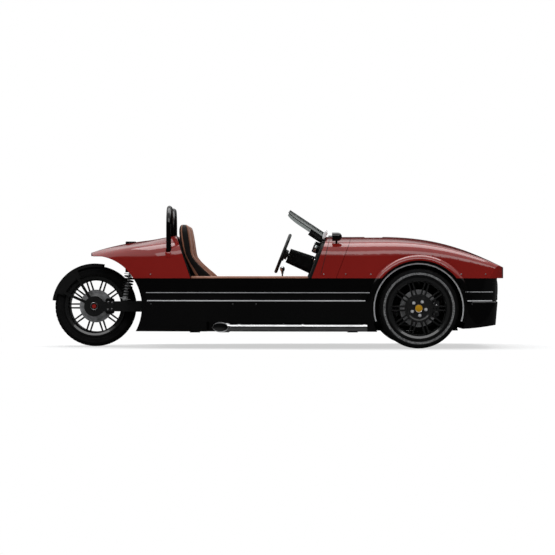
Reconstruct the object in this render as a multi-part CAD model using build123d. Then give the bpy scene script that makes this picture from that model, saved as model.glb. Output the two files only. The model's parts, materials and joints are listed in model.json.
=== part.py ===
from build123d import *
from math import cos, radians, sin, sqrt
import os

# Open three-wheeled two-seater: two steered wheels in front, one wheel on a swing arm behind.
# Millimetres. X points forward, Y to the car's left and Z up from the ground.
# The origin lies on the ground below the middle of the overall box.

# Overall
LENGTH = 3660.0
WIDTH = 1740.0
WHEELBASE = 2600.0
FRONT_TRACK = 1436.0

# Clearances
FIT = 0.3
SEAM = 3.0
SHAFT_PLAY = 0.05

# Tyres and rims
FRONT_TYRE_D = 637.0
FRONT_TYRE_W = 225.0
REAR_TYRE_D = 657.0
REAR_TYRE_W = 285.0
TYRE_WALL = 13.0
BEAD_D = 457.2
LIP_HEIGHT = 17.0
LIP_WALL = 7.0
BARREL_WALL = 8.0
RIM_TUCK = 8.0
RIM_SEAT_W = 30.0
RIM_RAMP_W = 18.0
RIM_DROP = 12.0
SPOKE_PAIRS = 10
SPOKE_ROOT_R = 96.0
SPOKE_ROOT_SPREAD = 9.5
SPOKE_TIP_SPREAD = 4.2
SPOKE_W = 15.0
SPOKE_DEPTH = 24.0
HUB_R = 112.0
HUB_DEPTH = 30.0
STUB_R = 20.0
FRONT_FACE_Y = 84.0
REAR_FACE_Y = 62.0

# Brakes
FRONT_DISC_D = 296.0
REAR_DISC_D = 268.0
DISC_T = 22.0
CALIPER_SPAN = 50.0
CALIPER_REACH = 24.0
PAD_GAP = 2.5

# Rear fender
FENDER_GAP = 13.0
FENDER_WALL = 6.0
FENDER_SIDE_GAP = 12.0
FENDER_START_DEG = 80.0
SKIRT_START_DEG = 116.0
SKIRT_END_DEG = 161.0
FENDER_TAIL_DEG = 172.0
SKIRT_INNER_R = 262.0
STAY_INSET_DEG = 5.0
STAY_W = 22.0
STAY_T = 14.0

# Body lines
BELT_Z = 556.0
LEDGE_Z = 372.0
SILL_Z = 135.0
FLARE_OUT = 24.0
FLARE_BAND = 44.0
WIDEST_X = 900.0
FLANK_R = 9560.0
SIDE_WALL = 50.0
LEDGE_OUT = 15.0
LEDGE_ROUND = 11.0
ARCH_R = 378.0
REAR_OPENING_R = 408.0

# Front body
SHELL_WALL = 22.0
HOOD_TOP_Z = 893.0
HOOD_BREAK_X = 900.0
HOOD_FALL_R = 1814.0
NOSE_BOW = 66.0
NOSE_CORNER_R = 150.0
NOSE_OVERRUN = 20.0
COWL_REAR_X = 268.0
COWL_RAKE = 21.0
HOOD_SEAM_X = 462.0
VENT_X = 705.0
VENT_LENGTH = 156.0
VENT_HALF = 300.0
VENT_SINK = 7.0
VENT_T = 12.0
VENT_SLOTS = 4

# Front bumper and grille
BUMPER_X = 1798.0
BUMPER_Z = 158.0
BUMPER_FLOOR_T = 14.0
GRILLE_SET_BACK = 14.0
GRILLE_HALF = 610.0
GRILLE_MARGIN = 12.0
GRILLE_BARS = 4
GRILLE_BAR = 7.0
GRILLE_DEPTH = 16.0
GRILLE_POSTS = 17
HEADLAMP_Y = 505.0
HEADLAMP_R = 68.0
HEADLAMP_DEPTH = 80.0

# Rear deck
DECK_REAR_X = -1525.0
DECK_BOW = 195.0
DECK_BOW_HALF = 520.0
DECK_FRONT_X = -690.0
DECK_RAKE = -19.5
HUMP_Y = 345.0
HUMP_FOOT_Y = 130.0
HUMP_FOOT_SHARE = 0.4
HUMP_VALLEY_SHARE = 0.25
FUEL_CAP_X = -1196.0
FUEL_CAP_Y = -105.0
FUEL_CAP_R = 43.0
FUEL_CAP_H = 14.0

# Tub and cockpit
FLOOR_T = 15.0
FLOOR_REAR_X = -1036.0
FLOOR_FRONT_X = 690.0
TRAY_FRONT_X = 1450.0
TRAY_HALF = 385.0
BULKHEAD_T = 28.0
BULKHEAD_SET_BACK = 12.0
DASH_T = 40.0
DASH_PROUD = 18.0
DASH_LOW_Z = 430.0
TRIM_T = 44.0
TRIM_TOP_Z = 573.0
TRIM_LOW_Z = 330.0
TRIM_ROUND = 14.0
TUNNEL_HALF = 68.0
TUNNEL_TOP_Z = 370.0
TUNNEL_REAR_X = -480.0
TUNNEL_FRONT_X = 240.0

# Seats
SEAT_Y = 338.0
SEAT_W = 500.0
SEAT_FRONT_X = -60.0
SEAT_FRONT_Z = 350.0
SEAT_HIP_X = -452.0
SEAT_HIP_Z = 292.0
SEAT_TOP_Z = 992.0
SEAT_BACK_T = 96.0
SEAT_TOP_T = 66.0
SEAT_ROUND = 30.0
SEAT_GAP = 3.0

# Controls
WHEEL_X = 46.0
WHEEL_Z = 762.0
WHEEL_D = 350.0
WHEEL_GRIP = 27.0
WHEEL_TILT = 21.5
WHEEL_SPOKES = 3
COLUMN_START = 46.0
COLUMN_W = 104.0
COLUMN_H = 122.0
GAUGE_R = 48.0
GAUGE_PROUD = 42.0
LEVER_X = 40.0
LEVER_BALL_Z = 633.0
LEVER_BALL_R = 18.0
LEVER_R = 6.0

# Windscreen
SCREEN_BASE_X = 388.0
SCREEN_BASE_Z = 926.0
SCREEN_LEAN = 33.5
SCREEN_LENGTH = 338.0
SCREEN_HALF = 560.0
SCREEN_BOW = 46.0
SCREEN_T = 6.0
SCREEN_CORNER_R = 130.0
RAIL_H = 20.0
RAIL_T = 16.0
FOOT_Y = 535.0
FOOT_R = 17.0
MIRROR_X = 432.0
MIRROR_Y = 722.0
MIRROR_Z = 884.0
MIRROR_R = 34.0
MIRROR_LENGTH = 78.0

# Roll hoops
HOOP_X = -866.0
HOOP_TUBE_D = 40.0
HOOP_OUTER_Y = 610.0
HOOP_INNER_Y = 185.0
HOOP_TOP_Z = 1138.0
HOOP_BEND_R = 165.0
HOOP_HOLE_GAP = 3.0
HOOP_BEAM_Z = 530.0

# Side pipe
PIPE_Z = 169.0
PIPE_D = 57.0
PIPE_OFFSET = 0.0
PIPE_FRONT_X = 704.0
PIPE_REAR_X = -402.0
PIPE_TIP_D = 80.0
PIPE_TIP_L = 86.0
PIPE_WALL = 3.0
PIPE_RECESS_Z = 212.0
PIPE_RECESS_REAR_X = -560.0

# Front running gear
KINGPIN_SET_IN = 30.0
BALL_JOINT_DROP = 128.0
LOWER_ARM_T = 24.0
UPPER_ARM_T = 18.0
ARM_SPREAD = 150.0
ARM_EYE_R = 24.0
ARM_BUSH_R = 15.0
RAIL_OUTER_Y = 340.0
RAIL_INNER_Y = 296.0
RAIL_LOW_Z = 182.0
RAIL_TOP_Z = 242.0
STEER_ARM = 135.0
TIE_ROD_R = 9.0
TIE_ROD_DROP = 34.0
TIE_ROD_WINDOW_R = 46.0
HALF_SHAFT_R = 14.0
HALF_SHAFT_END_Y = 606.0
BOOT_LENGTH = 74.0
ENGINE_LENGTH = 330.0
ENGINE_FORWARD = 60.0
ENGINE_HALF = 250.0
ENGINE_TOP_Z = 720.0
RADIATOR_SET_BACK = 190.0
RADIATOR_T = 48.0
RADIATOR_HALF = 400.0
LINER_GAP = 8.0
LINER_T = 5.0
LINER_INNER_Y = 470.0
LINER_LOW_Z = 200.0

# Rear running gear
PIVOT_X = -1004.0
PIVOT_R = 34.0
ARM_Y = -196.0
ARM_T = 66.0
ARM_HEIGHT = 94.0
CARRIER_R = 82.0
SPRING_LOW_X = -1240.0
SPRING_TOP_X = -1196.0
SPRING_TOP_Z = 604.0
SPRING_R = 37.0
SPRING_WIRE_R = 5.5
SPRING_COILS = 8.0
DAMPER_R = 20.0

# Lamps, pads
TAIL_LAMP_Y = 450.0
TAIL_LAMP_Z = 470.0
TAIL_LAMP_R = 46.0
JACK_X_FRONT = 600.0
JACK_X_REAR = -660.0
JACK_Y = 500.0
JACK_SIZE = 80.0
JACK_T = 12.0
JACK_HOLE_R = 6.5

# Derived places
FLANK_W = WIDTH / 2 - FLARE_OUT
FENDER_R = REAR_TYRE_D / 2 + FENDER_GAP
FENDER_OUTER_R = FENDER_R + FENDER_WALL
REAR_X = -LENGTH / 2 + FENDER_OUTER_R * cos(radians(180 - FENDER_TAIL_DEG))
FRONT_X = REAR_X + WHEELBASE
FRONT_Z = FRONT_TYRE_D / 2
REAR_Z = REAR_TYRE_D / 2
NOSE_X = LENGTH / 2
WHEEL_Y = FRONT_TRACK / 2
KINGPIN_Y = WHEEL_Y - KINGPIN_SET_IN
BEAD_R = BEAD_D / 2
LIP_R = BEAD_R + LIP_HEIGHT
DROP_R = BEAD_R - RIM_DROP
FLOOR_TOP_Z = SILL_Z + FLOOR_T
LOWER_JOINT_Z = FRONT_Z - BALL_JOINT_DROP
UPPER_JOINT_Z = FRONT_Z + BALL_JOINT_DROP
FAR = 4000.0


def half_width(x, offset=0.0):
    """Half the body's width in plan at x, on an arc that runs along the flank."""
    return FLANK_W - FLANK_R + sqrt((FLANK_R + offset) ** 2 - (x - WIDEST_X) ** 2)


def hood_top(x):
    """Height of the bonnet on the centre line: level, then one arc down to the nose."""
    run = max(x - HOOD_BREAK_X, 0.0)
    return HOOD_TOP_Z - HOOD_FALL_R + sqrt(HOOD_FALL_R**2 - run**2)


def block(x_from, x_to, y_from, y_to, z_from, z_to):
    """Box between two corners."""
    middle = Pos((x_from + x_to) / 2, (y_from + y_to) / 2, (z_from + z_to) / 2)
    return middle * Box(abs(x_to - x_from), abs(y_to - y_from), abs(z_to - z_from))


def rod(start, end, radius):
    """Round bar between two points."""
    start, end = Vector(*start), Vector(*end)
    axis = end - start
    length = axis.length
    return Plane(start, z_dir=axis) * Cylinder(radius, length, align=(Align.CENTER, Align.CENTER, Align.MIN))


def drum(x, z, y_from, y_to, radius):
    """Round disc or pin whose axis lies across the car."""
    return rod((x, y_from, z), (x, y_to, z), radius)


def cross_plane(x):
    """Upright plane across the car, with Y and Z as its own axes."""
    return Plane((x, 0, 0), x_dir=(0, 1, 0), z_dir=(1, 0, 0))


def raked_plane(x_at_belt, rake, shift=0.0):
    """Plane across the car through a belt-line point, leaning by rake, facing forward."""
    normal = (cos(radians(rake)), 0, -sin(radians(rake)))
    origin = Vector(x_at_belt, 0, BELT_Z) + Vector(*normal) * shift
    return Plane(origin, x_dir=(0, 1, 0), z_dir=normal)


def raked_x(x_at_belt, rake, z):
    """Where such a raked plane meets the height z."""
    return x_at_belt + (z - BELT_Z) * sin(radians(rake)) / cos(radians(rake))


def raked_slab(x_at_belt, rake, shift_from, shift_to):
    """Plate between two parallel raked planes."""
    plane = raked_plane(x_at_belt, rake, shift_from)
    return plane * Box(FAR, FAR, shift_to - shift_from, align=(Align.CENTER, Align.CENTER, Align.MIN))


def spin_about_y(outline):
    """Solid of revolution about Y from an outline of radius and Y."""
    return revolve(make_face(outline.edges()), Axis.Y)


def ring_of(points):
    """Solid of revolution about Y from corner points of radius and Y."""
    return spin_about_y(Polyline(*points, close=True))


def flank_arc(x_from, x_to, offset, side):
    """Arc along one flank in plan, moved outward by offset."""
    stations = (x_from, (x_from + x_to) / 2, x_to)
    return ThreePointArc(*[(x, side * half_width(x, offset)) for x in stations])


def side_band(x_from, x_to, inner, outer, z_from, z_to, side):
    """Upright band along one flank between two offsets."""
    near = flank_arc(x_from, x_to, outer, side)
    far = flank_arc(x_to, x_from, inner, side)
    outline = near + Line(near @ 1, far @ 0) + far + Line(far @ 1, near @ 0)
    return extrude(Pos(0, 0, z_from) * make_face(outline.edges()), z_to - z_from, dir=(0, 0, 1))


def nose_block(front_x, back_x, offset, corner, z_from, z_to):
    """Upright block with the plan of the front end: flanks, round corners, bowed front."""
    corner_x = front_x - NOSE_BOW
    half = half_width(corner_x, offset)
    left = flank_arc(back_x, corner_x, offset, 1)
    front = ThreePointArc((corner_x, half), (front_x, 0), (corner_x, -half))
    right = flank_arc(corner_x, back_x, offset, -1)
    outline = left + front + right + Line(right @ 1, left @ 0)
    face = make_face(outline.edges())
    face = fillet(face.vertices().sort_by(Axis.X)[-2:], corner)
    return extrude(Pos(0, 0, z_from) * face, z_to - z_from, dir=(0, 0, 1))


def front_form(wall=0.0):
    """Bonnet and cowl as one full form, inset by wall."""
    # columns: x, inward lean of the flank, crown of the top, shoulder radius
    rows = (
        (180.0, 66.0, 62.0, 150.0),
        (560.0, 62.0, 62.0, 150.0),
        (HOOD_BREAK_X, 58.0, 60.0, 140.0),
        (1250.0, 52.0, 54.0, 120.0),
        (1520.0, 40.0, 44.0, 90.0),
        (1720.0, 26.0, 30.0, 55.0),
        (NOSE_X + NOSE_OVERRUN, 14.0, 18.0, 28.0),
    )
    sections = []
    for x, lean, crown, shoulder in rows:
        half = half_width(x, -wall)
        top = hood_top(x) - wall
        edge = half - lean
        outline = Line((-half, BELT_Z), (half, BELT_Z))
        outline += Line((half, BELT_Z), (edge, top - crown))
        outline += ThreePointArc((edge, top - crown), (0, top), (-edge, top - crown))
        outline += Line((-edge, top - crown), (-half, BELT_Z))
        face = make_face(outline.edges())
        corners = face.vertices().sort_by(Axis.Y)[-2:]
        sections.append(cross_plane(x) * fillet(corners, max(shoulder - wall, LEDGE_ROUND)))
    return loft(sections)


def rear_form(wall=0.0):
    """Rear deck with its two head fairings as one full form, inset by wall."""
    # columns: x, narrowing of each flank, top, lean, crown, shoulder radius, fairing height
    rows = (
        (-600.0, 0.0, 880.0, 62.0, 62.0, 150.0, 44.0),
        (-860.0, 0.0, 872.0, 64.0, 62.0, 150.0, 36.0),
        (-1060.0, 12.0, 863.0, 70.0, 60.0, 140.0, 5.0),
        (-1300.0, 95.0, 826.0, 80.0, 55.0, 120.0, 0.0),
        (-1560.0, 250.0, 752.0, 90.0, 45.0, 90.0, 0.0),
    )
    sections = []
    for x, narrowing, top, lean, crown, shoulder, hump in rows:
        half = half_width(x) - narrowing - wall
        edge = half - lean
        corner = top - wall - crown

        def roof(y, share):
            return top - wall - crown * (y / edge) ** 2 + hump * share

        hump_y = HUMP_Y * edge / (edge + narrowing)
        foot_y = HUMP_FOOT_Y * edge / (edge + narrowing)
        ridge_z = roof(hump_y, 1.0)
        foot_z = roof(foot_y, HUMP_FOOT_SHARE)
        valley = (0, roof(0, HUMP_VALLEY_SHARE))
        outline = Line((-half, BELT_Z), (half, BELT_Z)) + Line((half, BELT_Z), (edge, corner))
        outline += ThreePointArc((edge, corner), (hump_y, ridge_z), (foot_y, foot_z))
        outline += ThreePointArc((foot_y, foot_z), valley, (-foot_y, foot_z))
        outline += ThreePointArc((-foot_y, foot_z), (-hump_y, ridge_z), (-edge, corner))
        outline += Line((-edge, corner), (-half, BELT_Z))
        face = make_face(outline.edges())
        corners = face.vertices().filter_by(lambda v: abs(abs(v.X) - edge) < 0.01)
        sections.append(cross_plane(x) * fillet(corners, shoulder - wall))
    return loft(sections)


def arch_cut():
    """Both front wheel openings through the flanks."""
    return drum(FRONT_X, FRONT_Z, -WIDTH, WIDTH, ARCH_R)


def opening_cut():
    """Rear wheel opening, as wide as the car."""
    return drum(REAR_X, REAR_Z, -WIDTH, WIDTH, REAR_OPENING_R)


def arch_flare(side):
    """Round lip that stands proud of one flank around its front wheel."""
    flank = half_width(FRONT_X)
    root = flank - SHELL_WALL
    lip = WIDTH / 2
    crest = ARCH_R + FLARE_BAND * 0.3
    outline = Polyline((ARCH_R + FLARE_BAND, root), (ARCH_R, root), (ARCH_R, lip), (crest, lip))
    outline += ThreePointArc((crest, lip), (crest + FLARE_BAND * 0.42, flank + FLARE_OUT * 0.62),
                             (ARCH_R + FLARE_BAND, flank - FLARE_OUT * 0.5))
    outline += Line((ARCH_R + FLARE_BAND, flank - FLARE_OUT * 0.5), (ARCH_R + FLARE_BAND, root))
    ring = Pos(FRONT_X, 0, FRONT_Z) * spin_about_y(outline)
    return ring if side > 0 else mirror(ring, Plane.XZ)


def flares(x_from, x_to, z_from, z_to):
    """The stretch of both flares that lies inside a window of the side view."""
    window = block(x_from, x_to, -WIDTH, WIDTH, z_from, z_to)
    return [arch_flare(side) & window for side in (1, -1)]


FRONT_OUTER = front_form()
FRONT_INNER = front_form(SHELL_WALL)
REAR_OUTER = rear_form()
REAR_INNER = rear_form(SHELL_WALL)


def front_shell():
    """Red front body with its nose, before the cowl is split from the bonnet."""
    outer_nose = nose_block(NOSE_X, 0, 0, NOSE_CORNER_R, BELT_Z, HOOD_TOP_Z)
    inner_nose = nose_block(NOSE_X - SHELL_WALL, 0, -SHELL_WALL, NOSE_CORNER_R - SHELL_WALL,
                            BELT_Z, HOOD_TOP_Z)
    return (FRONT_OUTER & outer_nose) - (FRONT_INNER & inner_nose)


def vent_pocket(gap):
    """Opening in the bonnet for its louvre panel, grown or shrunk by gap."""
    return block(VENT_X - gap, VENT_X + VENT_LENGTH + gap, -VENT_HALF - gap, VENT_HALF + gap,
                 BELT_Z, HOOD_TOP_Z + SEAM)


def hood(shell):
    """Bonnet with front fenders."""
    part = split(shell, raked_plane(HOOD_SEAM_X, COWL_RAKE, SEAM / 2), keep=Keep.TOP)
    part = part - arch_cut() - vent_pocket(0)
    lip = ARCH_R + FLARE_BAND
    return part + flares(FRONT_X - lip, FRONT_X + lip, BELT_Z, BELT_Z + lip)


def hood_vent():
    """Louvre panel sunk into the top of the bonnet."""
    panel = (front_form(VENT_SINK) - front_form(VENT_SINK + VENT_T)) & vent_pocket(-FIT)
    pitch = VENT_LENGTH / VENT_SLOTS
    slots = []
    for index in range(VENT_SLOTS):
        x = VENT_X + pitch * (index + 0.5)
        slots.append(block(x - pitch * 0.22, x + pitch * 0.22, -VENT_HALF * 0.9, VENT_HALF * 0.9,
                           BELT_Z, HOOD_TOP_Z))
    return panel - slots


def cowl(shell):
    """Scuttle between bonnet and cockpit."""
    part = split(shell, raked_plane(HOOD_SEAM_X, COWL_RAKE, -SEAM / 2), keep=Keep.BOTTOM)
    return split(part, raked_plane(COWL_REAR_X, COWL_RAKE), keep=Keep.TOP)


def hoop_path(side):
    """Centre line of one roll hoop."""
    top = HOOP_TOP_Z - HOOP_TUBE_D / 2
    points = [(HOOP_X, side * HOOP_OUTER_Y, HOOP_BEAM_Z), (HOOP_X, side * HOOP_OUTER_Y, top),
              (HOOP_X, side * HOOP_INNER_Y, top), (HOOP_X, side * HOOP_INNER_Y, HOOP_BEAM_Z)]
    return FilletPolyline(*points, radius=HOOP_BEND_R)


def roll_hoop(side, grow=0.0):
    """Tube bent to an upside-down U behind one seat."""
    path = hoop_path(side)
    return sweep(Plane(path @ 0, z_dir=path % 0) * Circle(HOOP_TUBE_D / 2 + grow), path)


def rear_deck():
    """Red tail with head fairings, open below for the rear wheel."""
    tail = ThreePointArc((DECK_REAR_X + DECK_BOW, -DECK_BOW_HALF), (DECK_REAR_X, 0),
                         (DECK_REAR_X + DECK_BOW, DECK_BOW_HALF))
    front = Polyline((DECK_REAR_X + DECK_BOW, DECK_BOW_HALF), (DECK_REAR_X + DECK_BOW, WIDTH),
                     (0, WIDTH), (0, -WIDTH), (DECK_REAR_X + DECK_BOW, -WIDTH),
                     (DECK_REAR_X + DECK_BOW, -DECK_BOW_HALF))
    plan = extrude(make_face((tail + front).edges()), FAR, dir=(0, 0, 1))
    shell = (REAR_OUTER & plan) - REAR_INNER - opening_cut()
    shell = split(shell, raked_plane(DECK_FRONT_X, DECK_RAKE), keep=Keep.BOTTOM)
    return shell - [roll_hoop(side, HOOP_HOLE_GAP) for side in (1, -1)]


def fuel_cap():
    """Round filler cap seated on the deck."""
    base = (FUEL_CAP_X, FUEL_CAP_Y, BELT_Z)
    roof = REAR_OUTER & rod(base, (FUEL_CAP_X, FUEL_CAP_Y, SCREEN_BASE_Z), FUEL_CAP_R)
    top = roof.bounding_box().max.Z + FUEL_CAP_H * 0.4
    cap = rod((FUEL_CAP_X, FUEL_CAP_Y, top - FUEL_CAP_H * 3), (FUEL_CAP_X, FUEL_CAP_Y, top), FUEL_CAP_R)
    cap = fillet(cap.edges().sort_by(Axis.Z)[-1], FUEL_CAP_H * 0.35)
    return cap - REAR_OUTER


def side_panel(side):
    """Black flank from the front arch to the rear wheel opening, with a proud lower half."""
    front = FRONT_X
    rear = REAR_X
    lower = side_band(rear, front, -SIDE_WALL, LEDGE_OUT, SILL_Z, LEDGE_Z, side)
    ledge = lower.edges().group_by(Axis.Z)[-1].sort_by(lambda e: side * e.center().Y)[-1]
    lower = fillet(ledge, LEDGE_ROUND)
    upper = side_band(rear, front, -SIDE_WALL, 0, LEDGE_Z, BELT_Z, side)
    panel = lower + upper - arch_cut() - opening_cut()
    lip = ARCH_R + FLARE_BAND
    panel += flares(FRONT_X - lip, FRONT_X - ARCH_R * 0.5, LEDGE_Z, BELT_Z)[0 if side > 0 else 1]
    if side < 0:
        panel -= side_band(PIPE_RECESS_REAR_X, PIPE_FRONT_X + SEAM, PIPE_OFFSET - PIPE_D / 2 - FIT,
                           SIDE_WALL, 0, PIPE_RECESS_Z, side)
        panel -= side_band(PIPE_RECESS_REAR_X, PIPE_REAR_X + SEAM, PIPE_OFFSET - PIPE_TIP_D / 2 - SEAM,
                           SIDE_WALL, 0, PIPE_RECESS_Z, side)
    return panel


def front_bumper():
    """Black lower nose with its ledge, air opening and floor."""
    back_x = FRONT_X + ARCH_R * 0.5
    lower = nose_block(BUMPER_X, back_x, LEDGE_OUT, NOSE_CORNER_R, BUMPER_Z, LEDGE_Z)
    rim = lower.faces().sort_by(Axis.Z)[-1].outer_wire().edges()
    lower = fillet(rim.filter_by(lambda e: e.center().X > back_x + 1), LEDGE_ROUND)
    upper = nose_block(BUMPER_X - GRILLE_SET_BACK, back_x, 0, NOSE_CORNER_R, LEDGE_Z, BELT_Z)
    inside = nose_block(BUMPER_X - GRILLE_SET_BACK - SIDE_WALL, 0, -SIDE_WALL, NOSE_CORNER_R - SIDE_WALL,
                        BUMPER_Z + BUMPER_FLOOR_T, BELT_Z)
    bumper = lower + upper - inside - arch_cut()
    bumper -= block(back_x, NOSE_X, -GRILLE_HALF, GRILLE_HALF, LEDGE_Z + GRILLE_MARGIN, BELT_Z)
    lip = ARCH_R + FLARE_BAND
    return bumper + flares(FRONT_X + ARCH_R * 0.5, FRONT_X + lip, LEDGE_Z, BELT_Z)


def headlamp_x(y):
    """Front of the grille's bow at y."""
    return BUMPER_X - GRILLE_SET_BACK - NOSE_BOW * (y / half_width(NOSE_X)) ** 2


def grille():
    """Bowed bars and posts that fill the air opening between the headlamps."""
    front_x = BUMPER_X - GRILLE_SET_BACK
    bow = nose_block(front_x, FRONT_X, 0, NOSE_CORNER_R, SILL_Z, BELT_Z)
    bow -= nose_block(front_x - GRILLE_DEPTH, 0, 0, NOSE_CORNER_R, SILL_Z, BELT_Z)
    low_z = LEDGE_Z + GRILLE_MARGIN
    half = GRILLE_HALF - FIT
    pitch = (BELT_Z - low_z) / GRILLE_BARS
    bars = []
    for index in range(GRILLE_BARS):
        z = low_z + pitch * index
        bars.append(bow & block(FRONT_X, NOSE_X, -half, half, z, z + GRILLE_BAR))
    for index in range(GRILLE_POSTS):
        y = -half + (2 * half - GRILLE_BAR) * index / (GRILLE_POSTS - 1)
        top = low_z + pitch * (GRILLE_BARS - 1) + GRILLE_BAR
        bars.append(bow & block(FRONT_X, NOSE_X, y, y + GRILLE_BAR, low_z, top))
    mesh = bars[0] + bars[1:]
    return mesh - [headlamp(side, FIT) for side in (1, -1)]


def headlamp(side, grow=0.0):
    """Round lamp with a domed front, let into the grille."""
    z = (LEDGE_Z + GRILLE_MARGIN + BELT_Z) / 2
    front = headlamp_x(HEADLAMP_Y)
    radius = HEADLAMP_R + grow
    body = rod((front - HEADLAMP_DEPTH, side * HEADLAMP_Y, z), (front, side * HEADLAMP_Y, z), radius)
    return body if grow else fillet(body.edges().sort_by(Axis.X)[-1], HEADLAMP_R * 0.2)


def floor_pan():
    """Tub floor with the tray under the engine and four drilled jacking pads."""
    inset = -SIDE_WALL - FIT
    left = flank_arc(FLOOR_REAR_X, FLOOR_FRONT_X, inset, 1)
    right = flank_arc(FLOOR_FRONT_X, FLOOR_REAR_X, inset, -1)
    outline = left + Line(left @ 1, right @ 0) + right + Line(right @ 1, left @ 0)
    tub = extrude(Pos(0, 0, SILL_Z) * make_face(outline.edges()), FLOOR_T, dir=(0, 0, 1))
    tray = block(FLOOR_FRONT_X - FLOOR_T, TRAY_FRONT_X, -TRAY_HALF, TRAY_HALF, SILL_Z, FLOOR_TOP_Z)
    return tub + tray + jack_pads()


def jack_pads():
    """Four pads under the floor, each with a tapped hole for lifting or tying down."""
    pads = []
    for x in (JACK_X_FRONT, JACK_X_REAR):
        for y in (JACK_Y, -JACK_Y):
            pad = block(x - JACK_SIZE / 2, x + JACK_SIZE / 2, y - JACK_SIZE / 2, y + JACK_SIZE / 2,
                        SILL_Z - JACK_T, SILL_Z)
            pads.append(pad - rod((x, y, SILL_Z - JACK_T), (x, y, SILL_Z), JACK_HOLE_R))
    return pads


def firewall():
    """Upright wall between engine bay and footwell."""
    x = FLOOR_FRONT_X - FLOOR_T
    half = half_width(x - FLOOR_T, -SIDE_WALL - FIT)
    low = block(x - FLOOR_T, x, -half, half, FLOOR_TOP_Z, BELT_Z)
    high = front_form(SHELL_WALL + FIT) & block(x - FLOOR_T, x, -WIDTH, WIDTH, BELT_Z, HOOD_TOP_Z)
    return low + high


def rear_bulkhead():
    """Raked wall behind the seats, from the floor up under the deck."""
    slab = raked_slab(DECK_FRONT_X, DECK_RAKE, -BULKHEAD_SET_BACK - BULKHEAD_T, -BULKHEAD_SET_BACK)
    rear_x = DECK_FRONT_X - (BULKHEAD_T + BULKHEAD_SET_BACK) / cos(radians(DECK_RAKE))
    half = half_width(rear_x, -SIDE_WALL - FIT)
    low = slab & block(-FAR, 0, -half, half, FLOOR_TOP_Z, BELT_Z)
    high = slab & rear_form(SHELL_WALL + FIT)
    return low + high


def dashboard():
    """Raked panel that closes the cowl, with round instrument pods."""
    slab = raked_slab(COWL_REAR_X, COWL_RAKE, -DASH_PROUD, DASH_T - DASH_PROUD)
    half = half_width(COWL_REAR_X, -SIDE_WALL - TRIM_T)
    low = slab & block(0, FAR, -half, half, DASH_LOW_Z, BELT_Z)
    high = slab & front_form(SHELL_WALL + FIT)
    panel = low + high
    face = raked_plane(COWL_REAR_X, COWL_RAKE, -DASH_PROUD)
    # columns: Y, height above the belt along the panel, radius as a share of GAUGE_R
    pods = ((SEAT_Y, 258.0, 1.0), (0.0, 240.0, 0.72), (-95.0, 240.0, 0.55), (95.0, 240.0, 0.55))
    for y, height, share in pods:
        pod = Cylinder(GAUGE_R * share, GAUGE_PROUD * share + DASH_T / 2)
        pod = chamfer(pod.edges().sort_by(Axis.Z)[0], GAUGE_R * 0.08)
        panel += face * Pos(y, height, (DASH_T / 2 - GAUGE_PROUD * share) / 2) * pod
    return panel


def steering_frame():
    """Plane in the steering wheel, facing down its column."""
    tilt = radians(WHEEL_TILT)
    return Plane((WHEEL_X, SEAT_Y, WHEEL_Z), x_dir=(0, 1, 0), z_dir=(cos(tilt), 0, -sin(tilt)))


def steering_column():
    """Tapered shroud from the wheel to the dashboard, with two stalks."""
    frame = steering_frame()
    reach = COWL_REAR_X + DASH_T
    near = Pos(0, 0, COLUMN_START) * RectangleRounded(COLUMN_W, COLUMN_H, COLUMN_W * 0.28)
    far = Pos(0, 0, COLUMN_START + reach) * RectangleRounded(COLUMN_W * 1.3, COLUMN_H * 1.3, COLUMN_W * 0.3)
    shroud = frame * loft([near, far])
    shroud = split(shroud, raked_plane(COWL_REAR_X, COWL_RAKE, -DASH_PROUD), keep=Keep.BOTTOM)
    stalk_z = COLUMN_START + COLUMN_W * 0.4
    for side in (1, -1):
        tip = frame.from_local_coords((side * COLUMN_W * 1.35, COLUMN_H * 0.12, stalk_z - COLUMN_W * 0.2))
        root = frame.from_local_coords((side * COLUMN_W * 0.3, 0, stalk_z))
        shroud += rod(root, tip, LEVER_R)
    return shroud


def steering_wheel():
    """Round grip on three drilled spokes and a hub."""
    ring_r = WHEEL_D / 2 - WHEEL_GRIP / 2
    wheel = Torus(ring_r, WHEEL_GRIP / 2)
    hub = Pos(0, 0, WHEEL_GRIP) * Cylinder(WHEEL_GRIP * 1.5, WHEEL_GRIP)
    shaft = rod((0, 0, WHEEL_GRIP / 2), (0, 0, COLUMN_START - FIT), STUB_R)
    wheel = wheel + hub + shaft
    spoke_w = WHEEL_GRIP * 1.1
    for index in range(WHEEL_SPOKES):
        arm = Pos(ring_r / 2, 0, WHEEL_GRIP * 0.35) * Box(ring_r, spoke_w, WHEEL_GRIP * 0.22)
        root = Pos(ring_r * 0.18, 0, WHEEL_GRIP * 0.55) * Box(ring_r * 0.36, spoke_w, WHEEL_GRIP * 0.6)
        hole = Pos(ring_r * 0.6, 0, 0) * Cylinder(WHEEL_GRIP * 0.3, FAR)
        wheel += Rot(0, 0, -90 + index * 360 / WHEEL_SPOKES) * (arm - hole + root)
    return steering_frame() * wheel


def tunnel():
    """Low console between the seats."""
    console = block(TUNNEL_REAR_X, TUNNEL_FRONT_X, -TUNNEL_HALF, TUNNEL_HALF, FLOOR_TOP_Z, TUNNEL_TOP_Z)
    return fillet(console.edges().group_by(Axis.Z)[-1], TUNNEL_HALF * 0.35)


def gear_lever():
    """Ball-topped lever that stands on the console."""
    foot = rod((LEVER_X, 0, TUNNEL_TOP_Z), (LEVER_X, 0, TUNNEL_TOP_Z + LEVER_BALL_R), LEVER_BALL_R * 1.6)
    stick = rod((LEVER_X, 0, TUNNEL_TOP_Z), (LEVER_X, 0, LEVER_BALL_Z), LEVER_R)
    return foot + stick + Pos(LEVER_X, 0, LEVER_BALL_Z) * Sphere(LEVER_BALL_R)


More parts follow.
